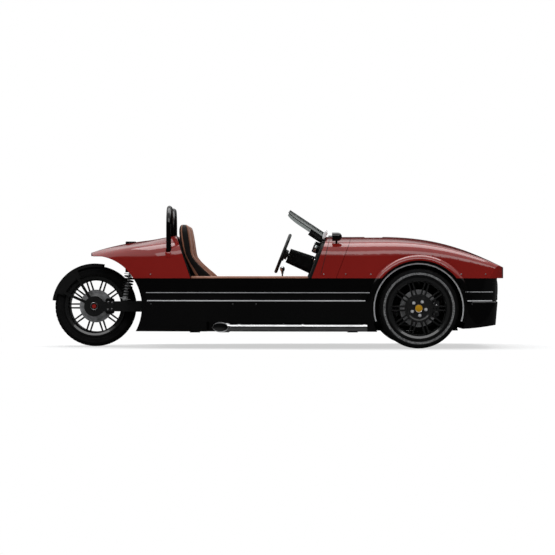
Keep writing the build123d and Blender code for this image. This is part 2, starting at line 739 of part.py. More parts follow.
def cockpit_trims():
    """Padded cards along both inner walls, rolled over the sill."""
    rear_x = raked_x(DECK_FRONT_X, DECK_RAKE, TRIM_LOW_Z) + FIT
    front_x = raked_x(COWL_REAR_X, COWL_RAKE, DASH_LOW_Z) - DASH_PROUD * 2
    cards = []
    for side in (1, -1):
        card = side_band(rear_x, front_x, -SIDE_WALL - TRIM_T, -SIDE_WALL - FIT, TRIM_LOW_Z, TRIM_TOP_Z, side)
        rolled = card.edges().group_by(Axis.Z)[-1].filter_by(GeomType.CIRCLE)
        cards.append(fillet(rolled, TRIM_ROUND))
    return Compound(children=cards)


def seat(side):
    """One seat: cushion and raked back in a single soft form."""
    back_x = raked_x(DECK_FRONT_X, DECK_RAKE, FLOOR_TOP_Z)
    top_x = raked_x(DECK_FRONT_X, DECK_RAKE, SEAT_TOP_Z)
    shift = SEAT_GAP
    rear_low = (back_x + shift, FLOOR_TOP_Z)
    rear_top = (top_x + shift, SEAT_TOP_Z)
    front_top = (top_x + shift + SEAT_TOP_T, SEAT_TOP_Z)
    hip = (SEAT_HIP_X, SEAT_HIP_Z)
    knee = (SEAT_FRONT_X, SEAT_FRONT_Z)
    toe = (SEAT_FRONT_X - SEAT_ROUND, FLOOR_TOP_Z)
    waist_z = (SEAT_HIP_Z + SEAT_TOP_Z) / 2
    waist_x = raked_x(DECK_FRONT_X, DECK_RAKE, waist_z) + shift + SEAT_BACK_T
    outline = Polyline(hip, knee, toe, rear_low, rear_top, front_top)
    outline += ThreePointArc(front_top, (waist_x, waist_z), hip)
    face = make_face(outline.edges())
    tops = face.vertices().filter_by(lambda v: v.Y > SEAT_TOP_Z - 1 or v.X > SEAT_FRONT_X - 1)
    face = fillet(tops, SEAT_ROUND)
    form = extrude(Plane.XZ * face, SEAT_W / 2, both=True)
    return Pos(0, side * SEAT_Y, 0) * form


def screen_frame():
    """Plane of the windscreen at its base: Y across, then up the slope."""
    lean = radians(SCREEN_LEAN)
    return Plane((SCREEN_BASE_X, 0, SCREEN_BASE_Z), x_dir=(0, 1, 0), z_dir=(sin(lean), 0, cos(lean)))


def screen_sheet(inner, outer, low, high):
    """Bowed sheet along the windscreen: offsets through it and distances up its slope."""
    radius = (SCREEN_HALF**2 + SCREEN_BOW**2) / (2 * SCREEN_BOW)
    sheet = Cylinder(radius + outer, high - low) - Cylinder(radius + inner, high - low)
    return screen_frame() * Pos(0, (low + high) / 2, -radius) * Rot(90, 0, 0) * sheet


def screen_outline(half, low, high, corner):
    """Prism square to the windscreen with rounded upper corners."""
    face = Pos(0, (low + high) / 2) * Rectangle(2 * half, high - low)
    face = fillet(face.vertices().sort_by(Axis.Y)[-2:], corner)
    return screen_frame() * extrude(face, SCREEN_HALF / 2, both=True)


def windscreen():
    """Low bowed pane."""
    sheet = screen_sheet(-SCREEN_T, 0, 0, SCREEN_LENGTH)
    return sheet & screen_outline(SCREEN_HALF, 0, SCREEN_LENGTH, SCREEN_CORNER_R)


def screen_rail():
    """Rail under the pane with clamps at its ends and feet on the cowl."""
    rail = screen_sheet(-RAIL_T, RAIL_T - SCREEN_T, -RAIL_H, 0)
    rail &= screen_outline(SCREEN_HALF, -RAIL_H, 0, FIT)
    clamp = screen_sheet(-SCREEN_T - RAIL_T * 1.6, -SCREEN_T - FIT, -RAIL_H, SCREEN_LENGTH * 0.32)
    for side in (1, -1):
        end = Pos(side * (SCREEN_HALF - RAIL_H), SCREEN_LENGTH * 0.1, 0) * Box(RAIL_H, SCREEN_LENGTH, FAR)
        rail += clamp & (screen_frame() * end)
        top = screen_frame().from_local_coords((side * FOOT_Y, -RAIL_H / 2, -SCREEN_BOW))
        rail += rod((top.X, top.Y, BELT_Z + SHELL_WALL * 2), (top.X, top.Y, top.Z), FOOT_R) - FRONT_OUTER
    return rail


def mirrors():
    """Rounded mirror on a stalk at each end of the cowl."""
    pair = []
    for side in (1, -1):
        centre = (MIRROR_X, side * MIRROR_Y, MIRROR_Z)
        dome = Sphere(MIRROR_R) & Pos(MIRROR_R, 0, 0) * Box(MIRROR_R * 2, MIRROR_R * 2, MIRROR_R * 2)
        barrel = Rot(0, 90, 0) * Cylinder(MIRROR_R, MIRROR_LENGTH - MIRROR_R)
        shell = Pos(*centre) * (Pos(MIRROR_LENGTH - MIRROR_R, 0, 0) * dome
                                + Pos((MIRROR_LENGTH - MIRROR_R) / 2, 0, 0) * barrel)
        root = (MIRROR_X + MIRROR_R, side * (MIRROR_Y - MIRROR_R), BELT_Z + SHELL_WALL)
        stalk = rod(root, (MIRROR_X + MIRROR_R, side * MIRROR_Y, MIRROR_Z), LEVER_R * 1.4) - FRONT_OUTER
        pair.append(shell + stalk)
    return Compound(children=pair)


def rear_frame():
    """Frame behind the cockpit: hoop beam, swing-arm pivot ears and spring bracket."""
    beam_low = HOOP_BEAM_Z - HOOP_TUBE_D * 1.4
    half = half_width(HOOP_X - HOOP_TUBE_D, -SIDE_WALL - FIT)
    beam = block(HOOP_X - HOOP_TUBE_D, HOOP_X + HOOP_TUBE_D, -half, half, beam_low, HOOP_BEAM_Z)
    post_x = HOOP_X - HOOP_TUBE_D
    part = beam
    for y in (ARM_Y, -ARM_Y):
        part += block(post_x - PIVOT_R, post_x + PIVOT_R, y - PIVOT_R, y + PIVOT_R, FLOOR_TOP_Z, HOOP_BEAM_Z)
    for y in (ARM_Y / 2, -ARM_Y / 2):
        ear = block(PIVOT_X, post_x + PIVOT_R, y - PIVOT_R / 2, y + PIVOT_R / 2,
                    REAR_Z - PIVOT_R * 1.7, REAR_Z + PIVOT_R * 1.7)
        part += ear + drum(PIVOT_X, REAR_Z, y - PIVOT_R / 2, y + PIVOT_R / 2, PIVOT_R * 1.7)
    cross = block(post_x - PIVOT_R, post_x + PIVOT_R, ARM_Y, -ARM_Y, REAR_Z - PIVOT_R * 1.7, REAR_Z + PIVOT_R)
    part += cross
    part += block(SPRING_TOP_X - SPRING_R, post_x, ARM_Y - SPRING_R, ARM_Y + SPRING_R,
                  SPRING_TOP_Z, SPRING_TOP_Z + SPRING_R)
    part += block(post_x - PIVOT_R, HOOP_X - HOOP_TUBE_D / 2 - FIT, ARM_Y - SPRING_R, ARM_Y + SPRING_R,
                  beam_low, SPRING_TOP_Z + SPRING_R)
    return part - drum(PIVOT_X, REAR_Z, -WIDTH, WIDTH, PIVOT_R + FIT)


def rear_panels():
    """Closing panels between the flanks and the wheel opening, with lamp seats."""
    panels = []
    inner_y = -ARM_Y + PIVOT_R * 2
    half = half_width(FLOOR_REAR_X, -SIDE_WALL - FIT)
    for side in (1, -1):
        panel = block(FLOOR_REAR_X, FLOOR_REAR_X + FLOOR_T, side * inner_y, side * half, FLOOR_TOP_Z, BELT_Z)
        panels.append(panel)
    return Compound(children=panels)


def tail_lamps():
    """Round lamps on the rear panels."""
    lamps = []
    for side in (1, -1):
        lamp = rod((FLOOR_REAR_X - TAIL_LAMP_R * 0.4, side * TAIL_LAMP_Y, TAIL_LAMP_Z),
                   (FLOOR_REAR_X, side * TAIL_LAMP_Y, TAIL_LAMP_Z), TAIL_LAMP_R)
        lamps.append(fillet(lamp.edges().sort_by(Axis.X)[0], TAIL_LAMP_R * 0.25))
    return Compound(children=lamps)


def exhaust_pipe():
    """Side pipe in its recess along the right sill, with a flared slash-cut tip."""
    run = Pos(0, 0, PIPE_Z) * flank_arc(PIPE_FRONT_X, PIPE_REAR_X, PIPE_OFFSET, -1)
    start = Plane(run @ 0, z_dir=run % 0)
    pipe = sweep(start * Circle(PIPE_D / 2), run)
    end = Plane(run @ 1, z_dir=run % 1)
    tip = end * Cone(PIPE_D / 2, PIPE_TIP_D / 2, PIPE_TIP_L, align=(Align.CENTER, Align.CENTER, Align.MIN))
    bore = end * Cone(PIPE_D / 2 - PIPE_WALL, PIPE_TIP_D / 2 - PIPE_WALL, PIPE_TIP_L,
                      align=(Align.CENTER, Align.CENTER, Align.MIN))
    inlet = sweep(start * Circle(PIPE_D / 2 - PIPE_WALL), run)
    return (pipe + tip) - bore - inlet


def tyre(width, diameter):
    """Road tyre about Y, open to its rim, with a rounded tread."""
    outer_r = diameter / 2
    bead_y = width / 2 - RIM_TUCK - LIP_WALL - FIT
    toe_y = bead_y - TYRE_WALL
    bead_r = BEAD_R + FIT
    side_r = LIP_R + (outer_r - LIP_R) * 0.45
    shoulder = (outer_r - TYRE_WALL * 0.9, width / 2 - TYRE_WALL * 0.7)
    edge = (outer_r - TYRE_WALL * 0.28, width / 2 - TYRE_WALL * 1.8)
    inner = (outer_r - TYRE_WALL * 1.7, width / 2 - TYRE_WALL * 2.6)
    lip = (LIP_R + FIT * 4, bead_y)
    outline = Line((bead_r, bead_y), lip) + ThreePointArc(lip, (side_r, width / 2), shoulder)
    outline += Line(shoulder, edge) + ThreePointArc(edge, (outer_r, 0), (edge[0], -edge[1]))
    outline += Line((edge[0], -edge[1]), (shoulder[0], -shoulder[1]))
    outline += ThreePointArc((shoulder[0], -shoulder[1]), (side_r, -width / 2), (lip[0], -lip[1]))
    outline += Polyline((lip[0], -lip[1]), (bead_r, -bead_y), (bead_r, -toe_y), (lip[0], -toe_y))
    outline += ThreePointArc((lip[0], -toe_y), (side_r, TYRE_WALL - width / 2), (inner[0], -inner[1]))
    outline += Line((inner[0], -inner[1]), inner)
    outline += ThreePointArc(inner, (side_r, width / 2 - TYRE_WALL), (lip[0], toe_y))
    outline += Line((lip[0], toe_y), (bead_r, toe_y)) + Line((bead_r, toe_y), (bead_r, bead_y))
    return spin_about_y(outline)


def spoke(face_y, lean):
    """One spoke, from the hub to the rim, with its front corners bevelled."""
    root_angle = radians(lean * SPOKE_ROOT_SPREAD)
    tip_angle = radians(lean * SPOKE_TIP_SPREAD)
    tip_r = DROP_R - BARREL_WALL / 2
    root = Vector(SPOKE_ROOT_R * cos(root_angle), face_y, SPOKE_ROOT_R * sin(root_angle))
    tip = Vector(tip_r * cos(tip_angle), face_y, tip_r * sin(tip_angle))
    along = tip - root
    sections = []
    for place, width, sink in ((root, SPOKE_W, SPOKE_W * 0.3), (tip, SPOKE_W * 0.8, 0.0)):
        plane = Plane(place, x_dir=(0, 1, 0), z_dir=along)
        back = -SPOKE_DEPTH - sink
        bevel = width * 0.25
        edge = width / 2
        outline = Polyline((back, -edge), (-sink - bevel, -edge), (-sink, bevel - edge),
                           (-sink, edge - bevel), (-sink - bevel, edge), (back, edge), close=True)
        sections.append(plane * make_face(outline.edges()))
    return loft(sections, ruled=True)


def rim(tyre_w, face_y, stub_end_y):
    """Cast rim about Y with paired spokes; its face and spokes lie towards +Y."""
    half = tyre_w / 2 - RIM_TUCK
    seat = half - RIM_SEAT_W
    well = seat - RIM_RAMP_W
    lip_inner = LIP_R - BARREL_WALL
    seat_inner = BEAD_R - BARREL_WALL
    well_inner = DROP_R - BARREL_WALL
    flange = half - LIP_WALL
    upper = [(LIP_R, half), (LIP_R, flange), (BEAD_R, flange), (BEAD_R, seat), (DROP_R, well)]
    under = [(well_inner, well), (seat_inner, seat), (seat_inner, half - BARREL_WALL), (lip_inner, half)]
    outside = upper + [(r, -y) for r, y in reversed(upper)]
    inside = [(r, -y) for r, y in reversed(under)] + under
    barrel = ring_of(outside + inside)
    back_y = face_y - HUB_DEPTH - SPOKE_W * 0.3
    rise = HUB_DEPTH * 0.16
    hub = ring_of([(0, back_y), (HUB_R, back_y), (HUB_R, face_y - rise), (HUB_R * 0.86, face_y - rise * 0.4),
                   (HUB_R * 0.76, face_y - rise * 2), (HUB_R * 0.3, face_y - rise * 2),
                   (HUB_R * 0.26, face_y - rise), (0, face_y - rise)])
    stub = ring_of([(0, stub_end_y), (STUB_R, stub_end_y), (STUB_R, back_y), (0, back_y)])
    pitch = 360 / SPOKE_PAIRS
    pair = [spoke(face_y, lean) for lean in (-1, 1)]
    spokes = [Rot(0, index * pitch, 0) * arm for index in range(SPOKE_PAIRS) for arm in pair]
    return barrel + hub + stub + spokes


def rim_back(face_y):
    """Where a rim's hub ends towards the car."""
    return face_y - HUB_DEPTH - SPOKE_W * 0.3


def brake_disc(diameter, face_y):
    """Disc and hat about Y that bolt to the back of a rim."""
    back = rim_back(face_y)
    hat = CALIPER_REACH
    inner = diameter * 0.27
    outline = [(STUB_R * 2, back), (inner, back), (inner, back - hat), (diameter / 2, back - hat),
               (diameter / 2, back - hat - DISC_T), (inner * 0.9, back - hat - DISC_T),
               (inner * 0.9, back - LIP_WALL), (STUB_R * 2, back - LIP_WALL)]
    return ring_of(outline)


def caliper(diameter, face_y):
    """Caliper over the front of a disc about Y, as one body with its bracket."""
    back = rim_back(face_y)
    disc_out = back - CALIPER_REACH
    disc_in = disc_out - DISC_T
    mid_r = diameter / 2 - CALIPER_SPAN * 0.4
    span = CALIPER_SPAN
    body = block(mid_r - span * 0.7, mid_r + span * 0.7, disc_in - DISC_T, disc_out + CALIPER_REACH * 0.6,
                 -span * 1.25, span * 1.25)
    body = fillet(body.edges().filter_by(Axis.Y), span * 0.3)
    slot_r = diameter / 2 + PAD_GAP
    slot = ring_of([(0, disc_in - PAD_GAP), (slot_r, disc_in - PAD_GAP),
                    (slot_r, disc_out + PAD_GAP), (0, disc_out + PAD_GAP)])
    return body - slot


def carrier(disc_d, face_y, inner_y):
    """Bearing housing about Y with the caliper on its bracket, from inner_y up to the disc."""
    back = rim_back(face_y) - CALIPER_REACH - DISC_T - PAD_GAP * 2
    reach = disc_d / 2 - CALIPER_SPAN * 0.4
    bearing = drum(0, 0, inner_y, back, STUB_R * 2.2)
    bracket = block(0, reach, back - DISC_T * 0.7, back, -CALIPER_SPAN * 0.6, CALIPER_SPAN * 0.6)
    return bearing + bracket + caliper(disc_d, face_y)


def knuckle():
    """Left upright about Y at the wheel's centre: carrier, ball-joint bosses and steering arm."""
    kingpin = -KINGPIN_SET_IN
    drop = BALL_JOINT_DROP - LOWER_ARM_T / 2 - FIT
    rise = BALL_JOINT_DROP - UPPER_ARM_T / 2 - FIT
    post = block(-STUB_R * 1.3, STUB_R * 1.3, kingpin - STUB_R, kingpin + STUB_R, -drop, rise)
    arm = block(-STEER_ARM - STUB_R * 0.8, 0, kingpin - STUB_R * 0.7, kingpin + STUB_R * 0.7,
                -STUB_R * 0.6, STUB_R * 0.2)
    part = carrier(FRONT_DISC_D, FRONT_FACE_Y, kingpin - STUB_R * 1.5) + post + arm
    return part - drum(0, 0, -FAR, FAR, STUB_R + SHAFT_PLAY)


def front_place(side):
    """Move a left-wheel piece to its axle; the right one is its mirror image."""
    def place(part):
        placed = Pos(FRONT_X, WHEEL_Y, FRONT_Z) * part
        return placed if side > 0 else mirror(placed, Plane.XZ)
    return place


def wishbone(z, thickness, spread):
    """Left A-arm from the kingpin to two bushes on the rail."""
    root_y = RAIL_OUTER_Y + ARM_BUSH_R + FIT
    half = ARM_BUSH_R * 1.4
    arm = rod((FRONT_X, KINGPIN_Y, z - thickness / 2), (FRONT_X, KINGPIN_Y, z + thickness / 2), ARM_EYE_R)
    for end in (1, -1):
        x = FRONT_X + end * spread
        arm += rod((FRONT_X + end * ARM_EYE_R * 0.4, KINGPIN_Y, z), (x, root_y, z), thickness / 2)
        arm += rod((x - half, root_y, z), (x + half, root_y, z), ARM_BUSH_R)
    return arm


def wishbones():
    """Upper and lower A-arms; each lower one has a cross web and a push rod to the tower."""
    web_y = (KINGPIN_Y + RAIL_OUTER_Y) / 2
    push_x = FRONT_X + ARM_SPREAD * 0.4
    top = (push_x, RAIL_OUTER_Y + LOWER_ARM_T + FIT, UPPER_JOINT_Z + BALL_JOINT_DROP)
    lower = wishbone(LOWER_JOINT_Z, LOWER_ARM_T, ARM_SPREAD)
    lower += rod((FRONT_X - ARM_SPREAD / 2, web_y, LOWER_JOINT_Z),
                 (FRONT_X + ARM_SPREAD / 2, web_y, LOWER_JOINT_Z), LOWER_ARM_T * 0.4)
    lower += rod((push_x, web_y + ARM_SPREAD * 0.2, LOWER_JOINT_Z), top, LOWER_ARM_T * 0.4)
    lower += Pos(*top) * Sphere(LOWER_ARM_T)
    upper = wishbone(UPPER_JOINT_Z, UPPER_ARM_T, ARM_SPREAD)
    left = [lower, upper]
    return Compound(children=left + [mirror(arm, Plane.XZ) for arm in left])


def front_subframe():
    """Two rails with cross-members and towers for the upper arms and push rods."""
    rear_x = FLOOR_FRONT_X + SEAM
    front_x = TRAY_FRONT_X
    beam = RAIL_OUTER_Y - RAIL_INNER_Y
    tower_half = ARM_SPREAD + beam
    tower_top = UPPER_JOINT_Z + BALL_JOINT_DROP + LOWER_ARM_T
    pieces = []
    for side in (1, -1):
        inner, outer = side * RAIL_INNER_Y, side * RAIL_OUTER_Y
        tower = block(FRONT_X - tower_half, FRONT_X + tower_half, inner, outer, RAIL_LOW_Z, tower_top)
        tower -= drum(FRONT_X, FRONT_Z, inner, outer, ARM_SPREAD * 0.6)
        tower -= drum(FRONT_X - STEER_ARM, FRONT_Z - TIE_ROD_DROP, inner, outer, TIE_ROD_WINDOW_R)
        pieces.append(tower)
        pieces.append(block(rear_x, front_x, inner, outer, RAIL_LOW_Z, RAIL_TOP_Z)
                      - drum(FRONT_X - STEER_ARM, FRONT_Z - TIE_ROD_DROP, inner, outer, TIE_ROD_WINDOW_R))
        for x in (rear_x, front_x - beam):
            pieces.append(block(x, x + beam, inner, outer, FLOOR_TOP_Z, RAIL_LOW_Z))
    engine_mid = FRONT_X + ENGINE_FORWARD
    for x in (engine_mid - ENGINE_LENGTH / 2, engine_mid + ENGINE_LENGTH / 2 - beam):
        pieces.append(block(x, x + beam, -RAIL_INNER_Y, RAIL_INNER_Y, RAIL_LOW_Z, RAIL_TOP_Z))
    return pieces[0] + pieces[1:]


def engine():
    """Transverse engine with its gearbox, as one plain mass."""
    middle = FRONT_X + ENGINE_FORWARD
    lump = block(middle - ENGINE_LENGTH / 2, middle + ENGINE_LENGTH / 2, -ENGINE_HALF, ENGINE_HALF,
                 RAIL_TOP_Z, ENGINE_TOP_Z)
    return fillet(lump.edges().filter_by(Axis.Z), SEAT_ROUND)


def radiator():
    """Core that stands on the bumper's floor behind the grille."""
    front_x = BUMPER_X - RADIATOR_SET_BACK
    low_z = BUMPER_Z + BUMPER_FLOOR_T
    core = block(front_x - RADIATOR_T, front_x, -RADIATOR_HALF, RADIATOR_HALF, low_z, BELT_Z - RADIATOR_T / 2)
    return chamfer(core.edges().filter_by(Axis.X), RADIATOR_T * 0.4)


def half_shafts():
    """Drive shafts from the gearbox to the front hubs."""
    shafts = []
    # columns: Y from, Y to, radius
    runs = ((ENGINE_HALF, HALF_SHAFT_END_Y, HALF_SHAFT_R),
            (HALF_SHAFT_END_Y - BOOT_LENGTH, HALF_SHAFT_END_Y, HALF_SHAFT_R * 2.2),
            (ENGINE_HALF, ENGINE_HALF + BOOT_LENGTH / 2, HALF_SHAFT_R * 2.4))
    for side in (1, -1):
        pieces = [drum(FRONT_X, FRONT_Z, side * y_from, side * y_to, radius) for y_from, y_to, radius in runs]
        shafts.append(pieces[0] + pieces[1:])
    return Compound(children=shafts)


def steering_rack():
    """Rack bar and tie rods that slide across the car, one solid."""
    x = FRONT_X - STEER_ARM
    z = FRONT_Z - TIE_ROD_DROP
    pin_top = FRONT_Z - STUB_R * 0.6 - FIT
    bar = drum(x, z, -KINGPIN_Y, KINGPIN_Y, TIE_ROD_R)
    for y in (KINGPIN_Y, -KINGPIN_Y):
        bar += rod((x, y, z - TIE_ROD_R * 1.4), (x, y, pin_top), TIE_ROD_R * 1.5)
    return bar


def wheel_liner(side):
    """Arched liner over one front wheel."""
    inner_r = ARCH_R + LINER_GAP
    outer_y = half_width(FRONT_X + inner_r + LINER_T, -SIDE_WALL - FIT)
    arch = drum(FRONT_X, FRONT_Z, side * LINER_INNER_Y, side * outer_y, inner_r + LINER_T)
    arch -= drum(FRONT_X, FRONT_Z, side * LINER_INNER_Y, side * outer_y, inner_r)
    return arch & block(0, NOSE_X, -WIDTH, WIDTH, LINER_LOW_Z, HOOD_TOP_Z)


def swing_arm():
    """Single-sided arm on the right of the rear wheel, with pivot tube, hub carrier and caliper."""
    y_from = ARM_Y - ARM_T / 2
    y_to = ARM_Y + ARM_T / 2
    pivot = drum(PIVOT_X, REAR_Z, y_from, -ARM_Y, PIVOT_R)
    outline = Polyline((PIVOT_X, REAR_Z - ARM_HEIGHT / 2), (PIVOT_X, REAR_Z + ARM_HEIGHT / 2),
                       (REAR_X, REAR_Z + ARM_HEIGHT * 0.4), (REAR_X, REAR_Z - ARM_HEIGHT * 0.4), close=True)
    beam = Pos(0, y_from, 0) * extrude(Plane.XZ * make_face(outline.edges()), ARM_T, dir=(0, 1, 0))
    boss = drum(REAR_X, REAR_Z, y_from, y_to, CARRIER_R)
    nose = drum(PIVOT_X, REAR_Z, y_from, y_to, ARM_HEIGHT / 2)
    perch = block(SPRING_LOW_X - DAMPER_R * 1.6, SPRING_LOW_X + DAMPER_R * 1.6, y_from, y_to,
                  REAR_Z, REAR_Z + ARM_HEIGHT / 2)
    part = pivot + beam + boss + nose + perch
    part += Pos(REAR_X, 0, REAR_Z) * carrier(REAR_DISC_D, REAR_FACE_Y, ARM_Y)
    return part - drum(REAR_X, REAR_Z, -FAR, FAR, STUB_R + SHAFT_PLAY)


def rear_fender():
    """Close-fitting fender over the rear tyre, with side skirts and two stays to the hub carrier."""
    half = REAR_TYRE_W / 2 + FENDER_SIDE_GAP
    outer_y = half + FENDER_WALL

    def sector(inner, y_from, y_to, start, end):
        ring = ring_of([(inner, y_from), (FENDER_OUTER_R, y_from), (FENDER_OUTER_R, y_to), (inner, y_to)])
        turns = [radians(turn) for turn in (start, (start + end) / 2, end)]
        wedge = Polyline((0, 0), *[(FAR * cos(turn), FAR * sin(turn)) for turn in turns], close=True)
        return ring & extrude(Plane.XZ * make_face(wedge.edges()), WIDTH, both=True)

    part = sector(FENDER_R, -outer_y, outer_y, FENDER_START_DEG, FENDER_TAIL_DEG)
    for side in (1, -1):
        part += sector(SKIRT_INNER_R, side * half, side * outer_y, SKIRT_START_DEG, SKIRT_END_DEG)
    for turn in (SKIRT_START_DEG + STAY_INSET_DEG, SKIRT_END_DEG - STAY_INSET_DEG):
        part += Rot(0, -turn, 0) * block(CARRIER_R + FIT, SKIRT_INNER_R + STAY_W, -half - STAY_T, -half,
                                         -STAY_W / 2, STAY_W / 2)
    return Pos(REAR_X, 0, REAR_Z) * part


def spring_axis():
    """Lower and upper ends of the rear spring's axis."""
    low = Vector(SPRING_LOW_X, ARM_Y, REAR_Z + ARM_HEIGHT / 2)
    high = Vector(SPRING_TOP_X, ARM_Y, SPRING_TOP_Z)
    return low, high


def rear_damper():
    """Damper body, rod and spring seats."""
    low, high = spring_axis()
    along = (high - low).normalized()
    length = (high - low).length
    seat_r = SPRING_R + SPRING_WIRE_R * 1.6
    inset = length * 0.08
    part = rod(low, low + along * (length * 0.6), DAMPER_R)
    part += rod(low, high, DAMPER_R * 0.5)
    part += rod(low + along * (inset - SPRING_WIRE_R), low + along * inset, seat_r)
    part += rod(high - along * inset, high - along * (inset - SPRING_WIRE_R), seat_r)
    arm_top = block(-FAR, 0, -FAR, FAR, 0, REAR_Z + ARM_HEIGHT / 2)
    bracket = block(-FAR, 0, -FAR, FAR, SPRING_TOP_Z, FAR)
    return part - arm_top - bracket


def rear_spring():
    """Open coil around the damper."""
    low, high = spring_axis()
    along = (high - low).normalized()
    length = (high - low).length
    inset = length * 0.08 + SPRING_WIRE_R + FIT
    height = length - 2 * inset
    coil = Helix(height / SPRING_COILS, height, SPRING_R)
    wire = sweep(Plane(coil @ 0, z_dir=coil % 0) * Circle(SPRING_WIRE_R), coil, is_frenet=True)
    return Plane(low + along * inset, z_dir=along) * wire


def build_nodes():
    """Every piece of the car by its node name."""
    shell = front_shell()
    nodes = {
        "hood": hood(shell),
        "hood_vent": hood_vent(),
        "cowl": cowl(shell),
        "rear_deck": rear_deck(),
        "fuel_cap": fuel_cap(),
        "side_panel_left": side_panel(1),
        "side_panel_right": side_panel(-1),
        "front_bumper": front_bumper(),
        "grille": grille(),
        "headlamps": Compound(children=[headlamp(1), headlamp(-1)]),
        "tail_lamps": tail_lamps(),
        "floor_pan": floor_pan(),
        "firewall": firewall(),
        "rear_bulkhead": rear_bulkhead(),
        "rear_frame": rear_frame(),
        "rear_panels": rear_panels(),
        "front_subframe": front_subframe(),
        "engine": engine(),
        "half_shafts": half_shafts(),
        "wishbones": wishbones(),
        "radiator": radiator(),
        "wheel_liners": Compound(children=[wheel_liner(1), wheel_liner(-1)]),
        "dashboard": dashboard(),
        "steering_column": steering_column(),
        "steering_wheel": steering_wheel(),
        "steering_rack": steering_rack(),
        "tunnel": tunnel(),
        "gear_lever": gear_lever(),
        "cockpit_trims": cockpit_trims(),
        "seat_left": seat(1),
        "seat_right": seat(-1),
        "windscreen": windscreen(),
        "screen_rail": screen_rail(),
        "mirrors": mirrors(),
        "exhaust_pipe": exhaust_pipe(),
        "swing_arm": swing_arm(),
        "rear_fender": rear_fender(),
        "rear_damper": rear_damper(),
        "rear_spring": rear_spring(),
    }
    for side, name in ((1, "left"), (-1, "right")):
        place = front_place(side)
        nodes["roll_hoop_" + name] = roll_hoop(side)
        nodes["front_knuckle_" + name] = place(knuckle())
        nodes["front_disc_" + name] = place(brake_disc(FRONT_DISC_D, FRONT_FACE_Y))
        nodes["front_rim_" + name] = place(rim(FRONT_TYRE_W, FRONT_FACE_Y, -KINGPIN_SET_IN - STUB_R))
        nodes["front_tyre_" + name] = place(tyre(FRONT_TYRE_W, FRONT_TYRE_D))
    rear = Pos(REAR_X, 0, REAR_Z)
    nodes["rear_rim"] = rear * rim(REAR_TYRE_W, REAR_FACE_Y, ARM_Y - ARM_T / 2)
    nodes["rear_tyre"] = rear * tyre(REAR_TYRE_W, REAR_TYRE_D)
    nodes["rear_disc"] = rear * brake_disc(REAR_DISC_D, REAR_FACE_Y)
    return nodes


os.makedirs("parts", exist_ok=True)
for name, part in build_nodes().items():
    export_step(part, os.path.join("parts", name + ".step"))
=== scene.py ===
import json
import math

import bmesh
import bpy
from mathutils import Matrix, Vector
from mathutils.bvhtree import BVHTree


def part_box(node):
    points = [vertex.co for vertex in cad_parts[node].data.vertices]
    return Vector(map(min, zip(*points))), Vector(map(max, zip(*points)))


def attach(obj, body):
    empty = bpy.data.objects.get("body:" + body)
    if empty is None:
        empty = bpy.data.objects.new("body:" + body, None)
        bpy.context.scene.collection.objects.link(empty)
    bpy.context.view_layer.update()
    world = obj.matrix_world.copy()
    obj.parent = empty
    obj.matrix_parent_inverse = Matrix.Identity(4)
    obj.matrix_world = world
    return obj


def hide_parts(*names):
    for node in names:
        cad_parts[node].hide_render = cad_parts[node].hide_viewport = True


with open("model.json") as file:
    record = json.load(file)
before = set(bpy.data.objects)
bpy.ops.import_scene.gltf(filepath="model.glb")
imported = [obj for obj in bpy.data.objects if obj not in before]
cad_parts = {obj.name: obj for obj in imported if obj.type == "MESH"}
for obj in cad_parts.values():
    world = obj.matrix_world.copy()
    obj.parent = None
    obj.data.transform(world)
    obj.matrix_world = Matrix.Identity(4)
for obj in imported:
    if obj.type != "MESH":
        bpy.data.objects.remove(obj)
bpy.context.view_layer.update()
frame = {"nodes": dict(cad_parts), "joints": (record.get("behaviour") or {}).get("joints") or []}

# Metres, in the frame of the solids: X forward, Y to the car's left, Z up from the ground.

NODES = frame["nodes"]
JOINTS = {joint["name"]: joint for joint in frame["joints"]}
REAR_HUB = Vector(JOINTS["spin_rear"]["pos_m"])
FRONT_HUB = {side: Vector(JOINTS["spin_front_" + side]["pos_m"]) for side in ("left", "right")}
SIDE_SIGN = {"left": 1, "right": -1}
STEER_HUB = Vector(JOINTS["steering_turn"]["pos_m"])
STEER_AXIS = Vector(JOINTS["steering_turn"]["axis"])

BELT_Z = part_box("hood")[0].z
LEDGE_Z = 0.372
STRIPE_Z = 0.442
BUMPER_STRIPE_Z = 0.448
LOWER_SCREW_Z = 0.352
# plan of a flank: half width at the widest place, radius of its curve, X of that place
FLANK_W = 0.846
FLANK_R = 9.56
WIDEST_X = 0.9
# rims: radius of the bead seat, of the lip and of the circle of nuts
BEAD_R = 0.2286
LIP_R = 0.2456
NUT_CIRCLE_R = 0.057
# front wheel openings: radius of the lip's edge and of the inner wall's edge, Y of that wall
ARCH_LIP_R = 0.352
ARCH_WALL_R = 0.296
ARCH_WALL_Y = 0.4705
EVEN = (1.0, 1.0, 1.0)
AHEAD = Vector((1, 0, 0))
UP = Vector((0, 0, 1))


# Materials

def shader_of(material):
    return material.node_tree.nodes["Principled BSDF"]


def set_values(node, values):
    """Plain values of sockets, with _ for each space in a socket's name."""
    for socket, value in values.items():
        node.inputs[socket.replace("_", " ")].default_value = value


def new_material(name, color, rough, metal=0.0, **sockets):
    """Principled material; sockets are further values set on the shader itself."""
    material = bpy.data.materials.new(name)
    material.use_nodes = True
    plain = {"Base Color": (*color, 1.0), "Roughness": rough, "Metallic": metal}
    set_values(shader_of(material), {**plain, **sockets})
    return material


def add_node(tree, kind, sources, **values):
    """Shader node with links into its sockets, by name or number, and plain values for others."""
    node = tree.nodes.new("ShaderNode" + kind)
    set_values(node, values)
    for socket, output in sources.items():
        tree.links.new(output, node.inputs[socket])
    return node


def own_space(tree, stretch):
    """The object's own coordinates, stretched along its axes."""
    place = add_node(tree, "TexCoord", {})
    return add_node(tree, "Mapping", {"Vector": place.outputs["Object"]}, Scale=stretch).outputs["Vector"]


